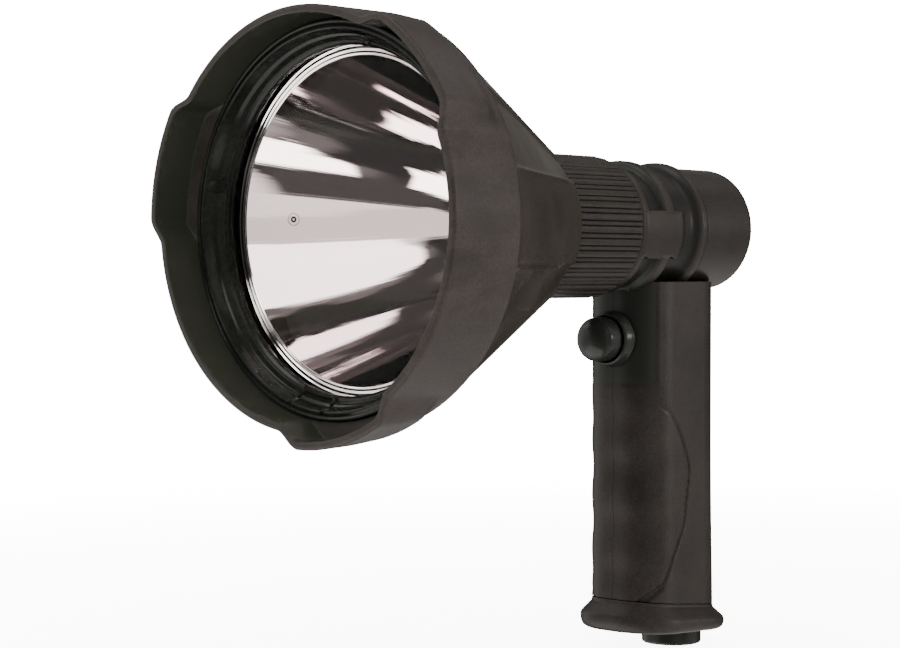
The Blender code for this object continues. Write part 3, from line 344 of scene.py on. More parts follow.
def moulded(name, dark, pale, grain_mm, grain_depth_mm, rough, spread, stretch=(1, 1, 1), sheen=0.12):
    """Satin plastic: slow clouds mix two colours and vary the gloss, and a fine grain lifts the surface."""
    finish, tree, shader = new_finish(name, Specular_IOR_Level=sheen)
    place = add_node(tree, "ShaderNodeMapping", {"Vector": object_place(tree), "Scale": stretch}).outputs[0]
    cloud = noise(tree, place, per_metre(CLOUD_MM), 4, 0.6)
    grain = noise(tree, place, per_metre(grain_mm), 3, 0.7)
    shade = remapped(tree, number(tree, "MULTIPLY", cloud, grain), 0.16, 0.36, 0, 1)
    feed(tree, shader, Base_Color=mixed(tree, shade, linear(dark), linear(pale)),
         Roughness=remapped(tree, cloud, 0.3, 0.7, rough - spread, rough + spread),
         Normal=bump(tree, grain, grain_depth_mm))
    return finish


def tinted(finish, mask, tint):
    """Lay a second colour over a finish where the mask is 1."""
    tree = finish.node_tree
    colour = tree.nodes["Principled BSDF"].inputs["Base Color"]
    tree.links.new(mixed(tree, mask(tree), colour.links[0].from_socket, linear(tint)), colour)


def from_axis(tree):
    """The vector from the barrel's axis, straight out, in metres."""
    centred = vector(tree, "SUBTRACT", object_place(tree), (0, 0, AXIS_HEIGHT))
    return vector(tree, "MULTIPLY", centred, (1, 0, 1))


def facing_in(tree):
    """1 where the skin looks at the barrel's axis, which is the inside of the shroud."""
    skin = add_node(tree, "ShaderNodeNewGeometry").outputs["Normal"]
    outward = vector(tree, "NORMALIZE", from_axis(tree))
    return ramp(tree, vector(tree, "DOT_PRODUCT", outward, skin), 0, -0.5)


def shade_in_grooves(tree):
    """1 on the floors of the collar's grooves, where the colour is darkened as painted shade."""
    out, along = vector(tree, "LENGTH", from_axis(tree)), coordinate(tree, "Y")
    return all_of(tree, ramp(tree, out, 21.7 * MM, 20.6 * MM),
                  ramp(tree, along, RING_PLACE + 109.5 * MM, RING_PLACE + 110.2 * MM),
                  ramp(tree, along, RING_PLACE + 138 * MM, RING_PLACE + 137 * MM))


def on_panel(tree):
    """1 on the smoother panel round the button, which reaches up to the collar."""
    return all_of(tree, ramp(tree, number(tree, "ABSOLUTE", coordinate(tree, "X")), 15.3 * MM, 11 * MM),
                  ramp(tree, coordinate(tree, "Y"), -17 * MM, -22 * MM),
                  ramp(tree, coordinate(tree, "Z"), 84 * MM, 92 * MM))


# Dark and pale colour, grain size and depth in mm, roughness and its spread
shroud_black = moulded("satin_abs_shroud", "#211D1B", "#2D2826", 0.9, 0.012, 0.46, 0.07,
                       stretch=(1, 1, 2.6))
head_black = moulded("satin_abs_head", "#201D1A", "#2B2723", 0.7, 0.008, 0.38, 0.06)
shell_black = moulded("satin_abs_shell", "#181513", "#211E1B", 0.7, 0.008, 0.38, 0.06)
inner_black = moulded("gloss_abs_bezel", "#0F110E", "#1A1C18", 1.2, 0.003, 0.16, 0.05, sheen=0.10)
rubber_black = moulded("silicone_rubber", "#151614", "#1C1D1A", 0.5, 0.004, 0.25, 0.05, sheen=0.13)
foot_black = moulded("satin_abs_foot", "#191614", "#24201E", 0.7, 0.010, 0.42, 0.06)
handle_black = moulded("satin_abs_handle", "#191614", "#231F1C", 0.7, 0.008, 0.40, 0.06)
tinted(shroud_black, facing_in, "#24261F")
# Painted shade: the floors of the collar's grooves are darkened in colour.
tinted(handle_black, shade_in_grooves, "#11110F")
tinted(handle_black, on_panel, "#151713")
print("plastics:", [m.name for m in bpy.data.materials if "abs" in m.name or "rubber" in m.name])

# %% [markdown]
# ## Mirror, lens and the metals
#
# The bowl is plastic with a skin of aluminium laid on in a vacuum. The skin copies every flow line of the
# moulding as a fine streak from the rim to the hole. The streaks are noise read from the direction round the
# axis, so they have no seam. The lens is clear polycarbonate.

# %% Mirror and lens
PIN_MARK = (-42.63 * MM, RING_PLACE + 14.71 * MM, AXIS_HEIGHT + 1.5 * MM)
PIN_PITCH = 1.3 * MM


def pin_rings(tree):
    """The print of an ejector pin: dark rings 1.3 mm apart round one spot, out to 2.2 mm."""
    reach = vector(tree, "DISTANCE", object_place(tree), PIN_MARK)
    wave = number(tree, "COSINE", number(tree, "MULTIPLY", reach, TAU / PIN_PITCH))
    return all_of(tree, ramp(tree, wave, 0.3, -0.5), ramp(tree, reach, PIN_PITCH + 1 * MM, PIN_PITCH))


def mirror_finish():
    """Bright metal with fine streaks that run along the bowl."""
    finish, tree, shader = new_finish("vacuum_aluminised_mirror", Metallic=1)
    streak = noise(tree, vector(tree, "NORMALIZE", from_axis(tree)), 9, 5, 0.62)
    feed(tree, shader, Base_Color=mixed(tree, streak, linear("#F9F1F2"), linear("#EFE3E5")),
         Roughness=remapped(tree, streak, 0, 1, 0, 0.02), Normal=bump(tree, streak, 0.03))
    tinted(finish, pin_rings, "#1E1A1C")
    return finish


def lens_finish():
    """Clear polycarbonate with a faint haze. Its coat sends back under 1%, as an IOR of 1.12 does."""
    finish, tree, shader = new_finish("coated_polycarbonate_lens", IOR=1.12, Transmission_Weight=1,
                                      Base_Color=linear("#F8F9F8"))
    smear = noise(tree, object_place(tree), per_metre(14), 3)
    feed(tree, shader, Roughness=remapped(tree, smear, 0, 1, 0, 0.02))
    return finish


mirror = mirror_finish()
lens_clear = lens_finish()
print("optics:", mirror.name, "and", lens_clear.name)

# %% Metals and boards inside
def metal(name, dark, pale, mark_mm, rough):
    """Metal with fine marks that vary its colour and gloss a little."""
    finish, tree, shader = new_finish(name, Metallic=1)
    mark = noise(tree, object_place(tree), per_metre(mark_mm), 4)
    feed(tree, shader, Base_Color=mixed(tree, mark, linear(dark), linear(pale)),
         Roughness=remapped(tree, mark, 0, 1, rough * 0.7, rough * 1.3))
    return finish


aluminium = metal("turned_aluminium", "#B9BABB", "#D2D3D4", 0.8, 0.30)
steel = metal("zinc_plated_steel", "#9FA1A3", "#BDBFC2", 0.6, 0.28)
nickel = metal("nickel_strip", "#C4BDB0", "#D6D0C4", 0.5, 0.25)
board_white = moulded("white_solder_mask", "#D9D8D2", "#E8E7E2", 0.3, 0.004, 0.42, 0.05)
board_green = moulded("green_solder_mask", "#1C4A2C", "#256238", 0.4, 0.006, 0.38, 0.05)
phosphor = moulded("yellow_phosphor_gel", "#D9A81E", "#EBC545", 0.4, 0.002, 0.25, 0.05)
cell_wrap = moulded("blue_shrink_sleeve", "#22477E", "#2C579A", 0.9, 0.006, 0.36, 0.05)
print("inner finishes:", aluminium.name, steel.name, nickel.name, board_white.name, board_green.name)

# %% Dressing a piece
pieces = []


def dressed(piece, finish, slot, body, *nodes):
    """Give a new piece its finish and body, and let it stand for its CAD nodes."""
    piece.data.materials.clear()
    piece.data.materials.append(finish)
    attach(piece, body)
    if nodes:
        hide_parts(*nodes)
    pieces.append(piece)
    print(f"{piece.name}: {len(piece.data.polygons)} faces on body {body}")


# %% [markdown]
# ## The shroud
#
# A thick tube guards the lens. Three lobes round its lip keep the torch from rolling. Inside each lobe the
# wall is hollow, which leaves a crescent of ledge behind it. One profile is turned about the barrel, with the
# radius lifted where a lobe stands, and the lift fades to nothing towards the back.

# %% Shroud
LOBE_CENTRE, LOBE_HALF, LOBE_FLANK = (math.radians(degrees) for degrees in (44, 14.6, 8))
LOBE_RISE = 4.5 * MM
LIP, LEDGE, SHROUD_END = -24.2, -11, 2.6
SHROUD_BORE, SHROUD_RADIUS = 57.5, 60.5


def lobe_share(turn):
    """1 across each of the three lobes and 0 between them, with eased flanks."""
    return 1 - eased((np.abs(wrapped(turn - LOBE_CENTRE, TAU / 3)) - LOBE_HALF) / LOBE_FLANK)


def lobed(radius, along, turn):
    """Outside, the lift fades from front to tail. Inside, it acts only in front of the ledge."""
    r, a = radius / MM, along / MM
    fade = np.interp(a, [LIP, -14, -5.98, -1.96, 2.5], [1, 0.90, 0.72, 0.15, 0])
    inside = (a < LEDGE + 0.1) * np.clip((r - SHROUD_BORE) / 0.5, 0, 1)
    share = np.where(r > SHROUD_RADIUS - 1.3, fade, inside)
    return radius + LOBE_RISE * share * lobe_share(turn), along


shroud = lathe("moulded_shroud", [
    (58, LIP, 0.8), (SHROUD_RADIUS, LIP, 1.1), (SHROUD_RADIUS, SHROUD_END, 0.9),
    (SHROUD_BORE, SHROUD_END, 0.3), (SHROUD_BORE, LEDGE, 0.25), (58, LEDGE - 0.6, 0.2),
    (58, LIP + 1.2, 0.3)], 360, bend=lobed, span=0.8)
dressed(shroud, shroud_black, "shroud_black", "torch", "bumper")

# %% [markdown]
# ## Bezel, lens and reflector
#
# The glossy black bezel screws the lens down. It steps inwards to the lens, with small bars on its slope.
# The mirror bowl is a parabola, depth = 69.5 (47.6^2 - r^2) / (47.6^2 - 12^2), because that curve throws the
# light of one point forward as a beam. Its rim is the bright ring round the lens.

# %% Bezel
BARS = [(78.5, 0.8, 49.6, 53.2), (165.4, 0.25, 51.8, 54), (167.4, 0.25, 50.8, 54),
        (169.4, 0.25, 51.8, 54), (252.4, 0.5, 50.8, 54.8), (267, 0.5, 50.8, 54.8),
        (330, 0.8, 51, 53.5)]
WINDOW = (252.4, 267, 51)
BAR_RISE, BAR_SIDE, BAR_END = 0.9, 0.35, 0.4


def lugged(radius, along, turn):
    """Bars on the slope, each with a turn in degrees, half a width and a reach in mm, and a small window
    frame, whose arc joins two of them. The surface comes forward where they stand."""
    r = radius / MM + 0 * turn
    lift = np.zeros(r.shape)
    for middle, half, inner, outer in BARS:
        off = np.abs(wrapped(turn - math.radians(middle))) * r
        ends = eased((r - inner) / BAR_END) * (1 - eased((r - outer) / BAR_END))
        lift = np.maximum(lift, (1 - eased((off - half) / BAR_SIDE)) * ends)
    start, end, level = WINDOW
    inside = (turn > math.radians(start)) & (turn < math.radians(end))
    lift = np.maximum(lift, inside * hill(r, level, 0.8))
    return radius, along - BAR_RISE * MM * lift * (along < -4.95 * MM)


bezel = lathe("glossy_bezel", [
    (50.3, -4.9, 0.1), (50.3, -5.6, 0.15), (51.1, -6.4, 0.2), (51.6, -6.5, 0.2), (52.6, -8.2, 0.25),
    (53.5, -8.8, 0.25), (54.4, -12.1, 0.35), (55, -12.3, 0.3), (56.1, -12, 0.3), (56.6, -12.3, 0.25),
    (57.2, -12.2, 0.3), (57.2, -11, 0.1), (54.2, -11, 0.1), (54.2, -4.9, 0.1)],
    720, bend=lugged, span=0.5)
dressed(bezel, inner_black, "inner_black", "torch", "bezel_ring")

# %% Lens
lens = lathe("clear_lens", [(0, -3.3, 0), (52.2, -3.3, 0.5), (52.2, -0.3, 0.3), (0, -0.3, 0)],
             192, loop=False, span=4)
dressed(lens, lens_clear, "clear_glass", "torch", "lens")

# %% Reflector
MOUTH, HOLE, BOWL_DEPTH, BOWL_WALL = 47.6, 12, 69.5, 1.6
RIPPLE = 0.020 * MM


def bowl_depth(radius):
    """Millimetres behind the rim: zero at the mouth, 69.5 at the hole, and a parabola between."""
    return BOWL_DEPTH * (MOUTH ** 2 - radius ** 2) / (MOUTH ** 2 - HOLE ** 2)


def rippled(radius, along, turn):
    """Flow lines of the moulding: a few low waves round the axis that fade out at the rim."""
    wave = np.sin(11 * turn + 0.7) + 0.7 * np.sin(17 * turn + 2.1) + 0.5 * np.sin(29 * turn + 4)
    return radius + RIPPLE * wave * eased((along - 2.5 * MM) / (8 * MM)), along


radii = np.linspace(MOUTH, HOLE, 60)
back = BOWL_DEPTH + BOWL_WALL
bowl_line = [(r, bowl_depth(r), 0) for r in radii] + [(HOLE, back, 0), (HOLE + BOWL_WALL, back, 0)]
bowl_line += [(r + BOWL_WALL, bowl_depth(r), 0) for r in radii[::-3][1:-1]]
bowl_line += [(49.2, 1.8, 0.2), (52.2, 1.8, 0.2), (52.2, 0, 0.2), (50.9, 0, 0.2), (50.5, 0.4, 0.15),
              (50, 0.02, 0.25), (49.5, 0.02, 0.2), (49.1, 0.4, 0.15), (48.6, 0.02, 0.25), (48.3, 0.02, 0.2),
              (47.95, 0.3, 0.12)]
bowl = lathe("mirror_bowl", bowl_line, 360, bend=rippled, span=1.5)
dressed(bowl, mirror, "reflector_mirror", "torch", "reflector")

# %% [markdown]
# ## Head shell
#
# Behind the shroud a cone narrows to the neck. A smooth pad runs along each side, a crest stays round above
# and below, and flat facets join them, set in by 0.9 mm. A facet is the chord of the cone between its edges:
# the radius times cos(half) over cos(angle from the middle). A bead runs along the pad's top edge, and below
# it lie a raised oval and a raised tongue.

# %% Head shell
CONE_FRONT, CONE_BACK = 2.9, 70
CONE_WIDE, CONE_NARROW = 59.6, 26.1
FACET_DEPTH = 0.9
BEAD_RISE, OVAL_RISE, TONGUE_RISE = 0.40, 0.85, 0.90


def cone_radius(along):
    """The plain cone in mm: wide at the shoulder, narrow at the neck, and straight between."""
    return np.interp(along, [CONE_FRONT, CONE_BACK], [CONE_WIDE, CONE_NARROW])


def window(value, low, high, soft):
    """1 between two values and 0 outside them, with soft flanks."""
    return eased((value - low) / soft + 0.5) * (1 - eased((value - high) / soft + 0.5))


def sculpted(radius, along, turn):
    """Set the outer skin in at the facets, and raise the beads, the oval and the tongue on each side."""
    r, a = radius / MM, along / MM
    cone = cone_radius(a)
    skin = np.clip((r - cone + 2.2) / 1.8, 0, 1) * (a > CONE_FRONT)
    height = cone * np.sin(turn)
    above = height > 0
    edge = np.where(above, np.interp(a, [8.7, CONE_BACK], [13.8, 12.8]), 12)
    crest = np.radians(np.where(above, np.interp(a, [13, 50], [40, 50]), 51))
    off = np.arcsin(np.abs(np.sin(turn)))
    pad_turn = np.arcsin(edge / cone)
    past_pad = np.abs(height) - edge
    half = (crest - pad_turn) / 2
    middle = (crest + pad_turn) / 2
    chord = cone * np.cos(half) / np.cos(np.clip(off - middle, -half, half)) - FACET_DEPTH - cone
    facet = eased(past_pad / 1.1) * (1 - eased((off - crest) * cone + 1))
    bead = hill(past_pad, -0.4, 0.9) * above
    oval = np.maximum(hill(height, -11.1, 1.1), hill(height, -14.2, 1.1)) * window(a, 8, 52, 2)
    oval = np.maximum(oval, hill(a, 53, 1.2) * window(height, -14, -11.3, 0.6))
    left = np.interp(height, [-24, -15], [12, 24])
    right = np.interp(height, [-22, -15], [46, 38])
    tongue = window(height, -27, -15.2, 1.2) * window(a, left, right, 1.8)
    reach = eased((a - 5) / 4) * (1 - eased((a - 58) / 6))
    lift = chord * facet + BEAD_RISE * bead * reach + OVAL_RISE * oval + TONGUE_RISE * tongue
    return radius + MM * skin * lift, along


head = lathe("faceted_head_shell", [
    (54.5, -10.7, 0.2), (57.2, -10.7, 0.4), (57.2, CONE_FRONT, 0), (CONE_WIDE, CONE_FRONT, 0.9),
    (CONE_NARROW, CONE_BACK, 1.1), (18.3, CONE_BACK, 0.3), (18.3, 66.5, 0.3), (26.5, 63.9, 1),
    (53.3, 10.3, 0.6), (50.8, 5.1, 0.3), (50.8, 2.1, 0.2), (54.5, 2.1, 0.3)], 432, bend=sculpted, span=0.9)
dressed(head, head_black, "shell_black", "torch", "head_shell")

# %% [markdown]
# ## Focus ring
#
# Flat lands with fine beads between them give the thumb its grip. The pattern repeats 36 times round the
# ring and runs out before its ends, where a thin plain rim is left.

# %% Focus ring
RIBS, RIB_DEPTH, BEAD_CROWN = 36, 0.55, 0.25
RING_START, RING_END, RING_RADIUS = 70.4, 104.8, 23


def ribbed(radius, along, turn):
    """Round each pitch: a wide land, a fine groove, a narrow bead and a fine groove, in the outer skin."""
    share = wrapped(turn / (TAU / RIBS) - 0.14, 1)
    off = np.abs(share)
    notch = RIB_DEPTH * hill(off, 0.20, 0.075)
    crown = np.where(off < 0.2, BEAD_CROWN * hill(off, 0, 0.2), 0.12 * hill(off, 0.5, 0.3))
    a = along / MM
    run = eased((a - RING_START - 0.2) / 0.8) * (1 - eased((a - RING_END + 1) / 0.8))
    skin = np.clip(radius / MM - RING_RADIUS + 2.4, 0, 1)
    return radius - MM * skin * (notch + BEAD_CROWN - crown) * run, along


focus = lathe("ribbed_focus_ring", [
    (18.4, RING_START, 0.2), (21.9, RING_START, 0.3), (RING_RADIUS, 71.2, 0.5), (RING_RADIUS, 104, 0.5),
    (21.9, RING_END, 0.3), (18.4, RING_END, 0.2)], 720, bend=ribbed, span=1.4)
dressed(focus, shell_black, "shell_black", "focus_ring", "focus_ring")

# %% [markdown]
# ## Grip, saddle and collar
#
# Two halves screw together round the cells. The grip is a rounded rectangle carried up from the foot. Its
# front is drawn in by four finger hollows, and a thin groove swings across its side. These marks are pushed
# into the skin along the normal, at places read as a distance round the section and a height.

# %% Section of the grip
CORNER, HALF_WIDTH = 13 * MM, 15.5 * MM
FRONT_CORNERS, BACK_CORNERS = -19 * MM, -3 * MM
GRIP_BOTTOM, PANEL_BOTTOM, GRIP_TOP = 15.6 * MM, 88 * MM, 128 * MM
WAVES, WAVE_DEPTH = 4, 0.7 * MM
FOOT_SLOPE, JOINT_SLOPE = 0.05, 0.11
HEEL = 1.2 * MM
GRIP_WALL = 1.8


def section_plan(corner_steps, side_steps, end_steps):
    """Per column: the corner it belongs to, as shares of the plan, and its outward normal."""
    quarter = np.linspace(0, math.pi / 2, corner_steps, endpoint=False)
    side = np.linspace(0, 1, side_steps, endpoint=False)
    end = np.linspace(0, 1, end_steps, endpoint=False)
    across, back, aim = [], [], []
    for start, runs, x0, x1, y0, y1 in ((-90, side, 1, 1, 0, 1), (0, end, 1, -1, 1, 1),
                                        (90, side, -1, -1, 1, 0), (180, end, -1, 1, 0, 0)):
        across += [np.full(corner_steps, x0), x0 + (x1 - x0) * runs]
        back += [np.full(corner_steps, y0), y0 + (y1 - y0) * runs]
        aim += [math.radians(start) + quarter, np.full(len(runs), math.radians(start + 90))]
    return tuple(np.concatenate(part)[None, :] for part in (across, back, aim))


def loft_points(plan, height, spread, front_in=0, back_out=0, slope=0, half=HALF_WIDTH,
                front=FRONT_CORNERS, back=BACK_CORNERS, corner=CORNER):
    """A rounded rectangle at each height. It grows by the spread, and leans down towards the back."""
    across, rear, aim = plan
    y_middle = front + front_in + (back + back_out - front - front_in) * rear
    x = across * (half - corner) + (corner + spread) * np.cos(aim)
    y = y_middle + (corner + spread) * np.sin(aim)
    x, y, height = np.broadcast_arrays(x, y, height)
    return np.stack([x, y, height - slope * (y - GRIP_MIDDLE)], axis=-1)


def stacked(name, rows):
    """A skin over closed rows, one above the other, whose ends are drawn together at their middles."""
    ends = rows[[0, -1]].mean(axis=1, keepdims=True) + 0 * rows[[0, -1]]
    return shell_of(name, np.concatenate([ends[:1], rows, ends[1:]]), False)


print("section:", section_plan(36, 36, 10)[0].shape[1], "columns")

# %% Marks on the grip
ARC_PATH = np.array([(16.8, 81.7), (21.3, 79), (26, 73.5), (29.3, 66.7), (31, 58.9), (29.9, 50),
                     (26.2, 37.1), (19.3, 25.9), (16.3, 20.5)])
NOTCH_PATH = np.array([(17, 21.5), (14, 18.4), (11, 15.8), (7.6, 12.6)])
PANEL_DEPTH, RIM_RISE, GROOVE_DEPTH, NOTCH_DEPTH = 0.22, 0.12, 0.55, 1.3


def path_distance(s, z, path):
    """Distance in mm from each surface place to a bent line, the least over its straight runs."""
    start, run = path[:-1], np.diff(path, axis=0)
    ds, dz = s[..., None] - start[:, 0], z[..., None] - start[:, 1]
    share = np.clip((ds * run[:, 0] + dz * run[:, 1]) / (run ** 2).sum(axis=1), 0, 1)
    return np.hypot(ds - share * run[:, 0], dz - share * run[:, 1]).min(axis=-1)


def smooth_path(path, rounds=3):
    """Corner cutting: each run keeps its middle half, so the line bends evenly."""
    for _ in range(rounds):
        a, b = path[:-1], path[1:]
        cut = np.stack([0.75 * a + 0.25 * b, 0.25 * a + 0.75 * b], axis=1).reshape(-1, 2)
        path = np.concatenate([path[:1], cut, path[-1:]])
    return path


def grip_marks(s, z):
    """How deep the skin is pushed in: the button panel, the side groove and the notch above the foot."""
    s, z = s / MM, z / MM
    panel = PANEL_DEPTH * (1 - eased((s - 15.4) / 0.9)) * eased(z - 87.9)
    rim = -RIM_RISE * hill(s, 16.6, 1.2) * eased((z - 87) / 3)
    groove = GROOVE_DEPTH * (1 - eased((path_distance(s, z, ARC) - 0.15) / 0.55))
    fade = eased((z - 15.6) / 3) * (1 - 0.6 * eased((z - 74) / 8))
    notch = NOTCH_DEPTH * (1 - eased((path_distance(s, z, NOTCH) - 0.6) / 1.2))
    return MM * (panel + rim + np.maximum(groove * fade, notch))


ARC, NOTCH = smooth_path(ARC_PATH), smooth_path(NOTCH_PATH)
print("side groove drawn with", len(ARC), "points")

# %% Grip skin
def finger_wave(height):
    """Four hollows between the foot and the button's panel, faded at both ends."""
    low = GRIP_BOTTOM - 0.3 * MM
    share = (height - low) / (PANEL_BOTTOM - low)
    fade = eased(4 * share) * eased(4 * (1 - share))
    return WAVE_DEPTH * fade * (1 - np.cos(TAU * WAVES * share)) / 2


def grip_grid():
    """The skin of grip and saddle, from the sloping joint with the foot up into the collar. The distance s
    round the section counts from the middle of the front, the same way on both sides."""
    plan = section_plan(36, 36, 10)
    share = np.linspace(0, 1, 216)[:, None]
    height = GRIP_BOTTOM + (GRIP_TOP - GRIP_BOTTOM) * share
    lean = JOINT_SLOPE * (1 - eased(share / 0.08))
    heel = HEEL * eased((PANEL_BOTTOM - height) / PANEL_BOTTOM) ** 2
    grid = loft_points(plan, height, 0, finger_wave(height), heel, lean)
    step = np.linalg.norm(np.roll(grid, -1, axis=1)[..., :2] - grid[..., :2], axis=-1)
    gone = np.cumsum(step, axis=1) - step
    flat = HALF_WIDTH - CORNER
    s = np.abs(np.minimum(gone + flat, step.sum(axis=1, keepdims=True) - flat - gone))
    depth = grip_marks(s, np.broadcast_to(height, s.shape))[..., None]
    aim = plan[2]
    normal = np.stack([np.cos(aim), np.sin(aim), 0 * aim], axis=-1)
    return grid - depth * normal


grip = stacked("grip_blank", grip_grid())
print("grip skin:", len(grip.data.polygons), "faces")

# %% Collar skin
COLLAR_START, COLLAR_END = 105.1, 141
COLLAR_RADIUS, GROOVE_RADIUS, PAD_RADIUS = 22, 19.6, 22.4


def padded_collar(radius, along, turn):
    """A smooth pad bridges the grooves on each side, from 9.6 mm under the axis to 4.8 mm over it."""
    a = along / MM
    pad = window(radius * np.sin(turn) / MM, -9.6, 4.8, 0.8)
    pad = pad * eased((a - 106.4) / 0.9) * (1 - eased((a - 125.2) / 5))
    return radius + pad * np.where(radius > 19 * MM, PAD_RADIUS * MM - radius, 0), along


collar = lathe("collar_blank", [
    (0, COLLAR_START, 0), (COLLAR_RADIUS, COLLAR_START, 1.3), (COLLAR_RADIUS, 109.2, 1.4),
    (GROOVE_RADIUS, 110.4, 0.8), (GROOVE_RADIUS, 116.8, 0.8), (COLLAR_RADIUS, 118, 1.7),
    (COLLAR_RADIUS, 122.6, 1.7), (GROOVE_RADIUS, 124, 0.8), (GROOVE_RADIUS, 134.6, 1.4), (21.9, 136.9, 0.9),
    (COLLAR_RADIUS, 139.4, 0.6), (21.2, COLLAR_END, 0.7), (0, COLLAR_END, 0)],
    288, bend=padded_collar, loop=False, span=0.7)
print("collar skin:", len(collar.data.polygons), "faces")

# %% [markdown]
# ## Joining, hollowing and halving the grip
#
# A mould maker cuts the same steps in steel: the outside first, then the room for the cells, the bore for the
# neck tube and the holes. Each tool is itself a closed skin. Blender's Boolean modifier with the Manifold
# solver joins or carves them all at once, which keeps the mesh closed.

# %% Tools for carving
JOIN, CARVE, KEEP = "UNION", "DIFFERENCE", "INTERSECT"


def worked(piece, *steps):
    """Join, carve or keep by each tool in turn. The tools themselves stay in the scene."""
    for operation, tool in steps:
        step = piece.modifiers.new(operation.lower(), "BOOLEAN")
        step.operation = operation
        step.object = tool
        step.solver = "MANIFOLD"
    mesh = bpy.data.meshes.new_from_object(piece.evaluated_get(bpy.context.evaluated_depsgraph_get()))
    piece.modifiers.clear()
    piece.data = mesh
    softened(mesh)
    return piece


def removed(*tools):
    """Take the tools out of the scene once nothing needs them."""
    for tool in tools:
        bpy.data.objects.remove(tool)


def rod(name, radius, low, high, place, count=64):
    """A plain round tool: a profile from the axis out to the radius and back."""
    corners = [(0, low, 0), (radius, low, 0), (radius, high, 0), (0, high, 0)]
    return lathe(name, corners, count, place, loop=False, span=60)


def block(name, low, high):
    """A plain box tool in mm: a square of four points at the low and at the high level."""
    (x0, y0, z0), (x1, y1, z1) = low, high
    rows = [[(x0, y0, z), (x1, y0, z), (x1, y1, z), (x0, y1, z)] for z in (z0, z1)]
    return stacked(name, np.array(rows, float) * MM)


def hollow(name, inset, low, high):
    """The straight room inside the grip, its wall and the inset in from the skin, from low to high in mm."""
    side = (GRIP_WALL + inset) * MM
    return stacked(name, loft_points(
        section_plan(16, 2, 2), np.array([[low], [high]]) * MM, 0, half=HALF_WIDTH - side,
        corner=CORNER - side, front=FRONT_CORNERS + WAVE_DEPTH))


print("tools ready")

# %% The handle in one
SADDLE_TOP = 122.2
NECK_BORE, SHAFT_BORE, CAP_BORE = 18.3, 4.8, 20.8

trim = block("trim", (-20, -60, SADDLE_TOP), (20, 20, 140))
cap_room = rod("cap_room", CAP_BORE, COLLAR_END, 180, barrel_point, 128)
room = hollow("room", 0, 10.7, 117.3)
bore = rod("bore", NECK_BORE, 103, 138, barrel_point, 96)
bushing = rod("bushing", SHAFT_BORE, 137, 143, barrel_point, 48)
limit = hollow("limit", -GRIP_WALL / 2, 15, 118.2)
seat = worked(rod("seat", 11.4, 0.6, 6.6, button_point), (KEEP, limit))
handle = worked(grip, (CARVE, trim), (CARVE, cap_room), (JOIN, collar), (CARVE, room), (JOIN, seat),
                (CARVE, bore), (CARVE, bushing))
removed(trim, cap_room, collar, room, bore, bushing, seat)
print("handle in one:", len(handle.data.polygons), "faces")

# %% The two halves
SEAM = 0.06
SCREWS = [(-3, 94.1), (-3, 112.1), (-19, 119)]
BOSS, POCKET, DRILL, BUTTON_HOLE = 3.4, 2.9, 1.7, 8.6

for side_name, side in (("left", -1), ("right", 1)):
    half = handle.copy()
    half.data = handle.data.copy()
    half.name = half.data.name = f"handle_shell_{side_name}"
    bpy.context.scene.collection.objects.link(half)
    spots = [round_axis("X", y * MM, z * MM) for y, z in SCREWS]
    boss_ends = sorted((side * 0.15, side * 14.6))
    steps = [(JOIN, worked(rod("boss", BOSS, *boss_ends, spot, 32), (KEEP, limit))) for spot in spots[:2]]
    low, high = sorted((side * SEAM, -side * 60))
    steps += [(CARVE, block("other_half", (low, -80, -10), (high, 80, 220))),
              (CARVE, rod("button_hole", BUTTON_HOLE, -2, 14.8, button_point))]
    drill_ends = (-15.5, 2) if side < 0 else (-2, 0.4)
    for spot in spots:
        if side < 0:
            steps.append((CARVE, rod("pocket", POCKET, -17.5, -13.7, spot, 40)))
        steps.append((CARVE, rod("drill", DRILL, *drill_ends, spot, 24)))
    worked(half, *steps)
    removed(*[tool for _, tool in steps])
    dressed(half, handle_black, "shell_black", "torch", f"handle_{side_name}")
removed(handle, limit)

# %% [markdown]
# ## Foot and plug
#
# The foot closes the grip with a flared rim that slopes down to the back. The flare is a profile of spread
# against level, and each level is a rounded rectangle grown by that spread. A spigot stands up into the grip,
# and underneath a rubber plug covers the charging port.

# %% Foot
def foot_grid():
    """Rows from the underside to the joint with the grip, with the slope growing on the way up."""
    profile = rounded([
        (0.2, 0, 0), (1.6, 0, 0.5), (3.1, 0.7, 1), (3.8, 2.4, 1.2), (3.8, 4.5, 1.3), (2.2, 6, 0.9),
        (0.8, 7.4, 1.4), (0, 8.1, 0.5), (0, 9, 0)], loop=False, span=0.4)
    spread, level = profile[:, :1], profile[:, 1:]
    slope = FOOT_SLOPE + (JOINT_SLOPE - FOOT_SLOPE) * level / (9 * MM)
    return loft_points(section_plan(32, 14, 6), 6.3 * MM + level, spread, back_out=HEEL, slope=slope)


spigot = hollow("spigot", 0.3, 8.9, 19.2)
inside = hollow("foot_room", 2.2, 8.9, 21.2)
port = rod("port", 5.8, 4.3, 15.3, plug_point)
foot = worked(stacked("flared_foot", foot_grid()), (JOIN, spigot), (CARVE, inside), (CARVE, port))
removed(spigot, inside, port)
dressed(foot, foot_black, "shell_black", "torch", "foot_cap")

# %% Plug
plug = lathe("rubber_port_plug", [
    (0, 0, 0), (10, 0, 1), (10, 4.8, 0.5), (2.9, 4.8, 0.2), (2.9, 11.8, 0.8), (0, 11.8, 0)],
    128, plug_point, loop=False, span=0.8)
dressed(plug, rubber_black, "rubber_black", "plug", "port_plug")

# %% [markdown]
# ## Push button
#
# A domed silicone cap stands in a ring screwed into the front of the grip. The dome is an ellipse turned
# round the button's axis, r = 7.2 cos(t) and depth = -8.6 - 4.4 sin(t).

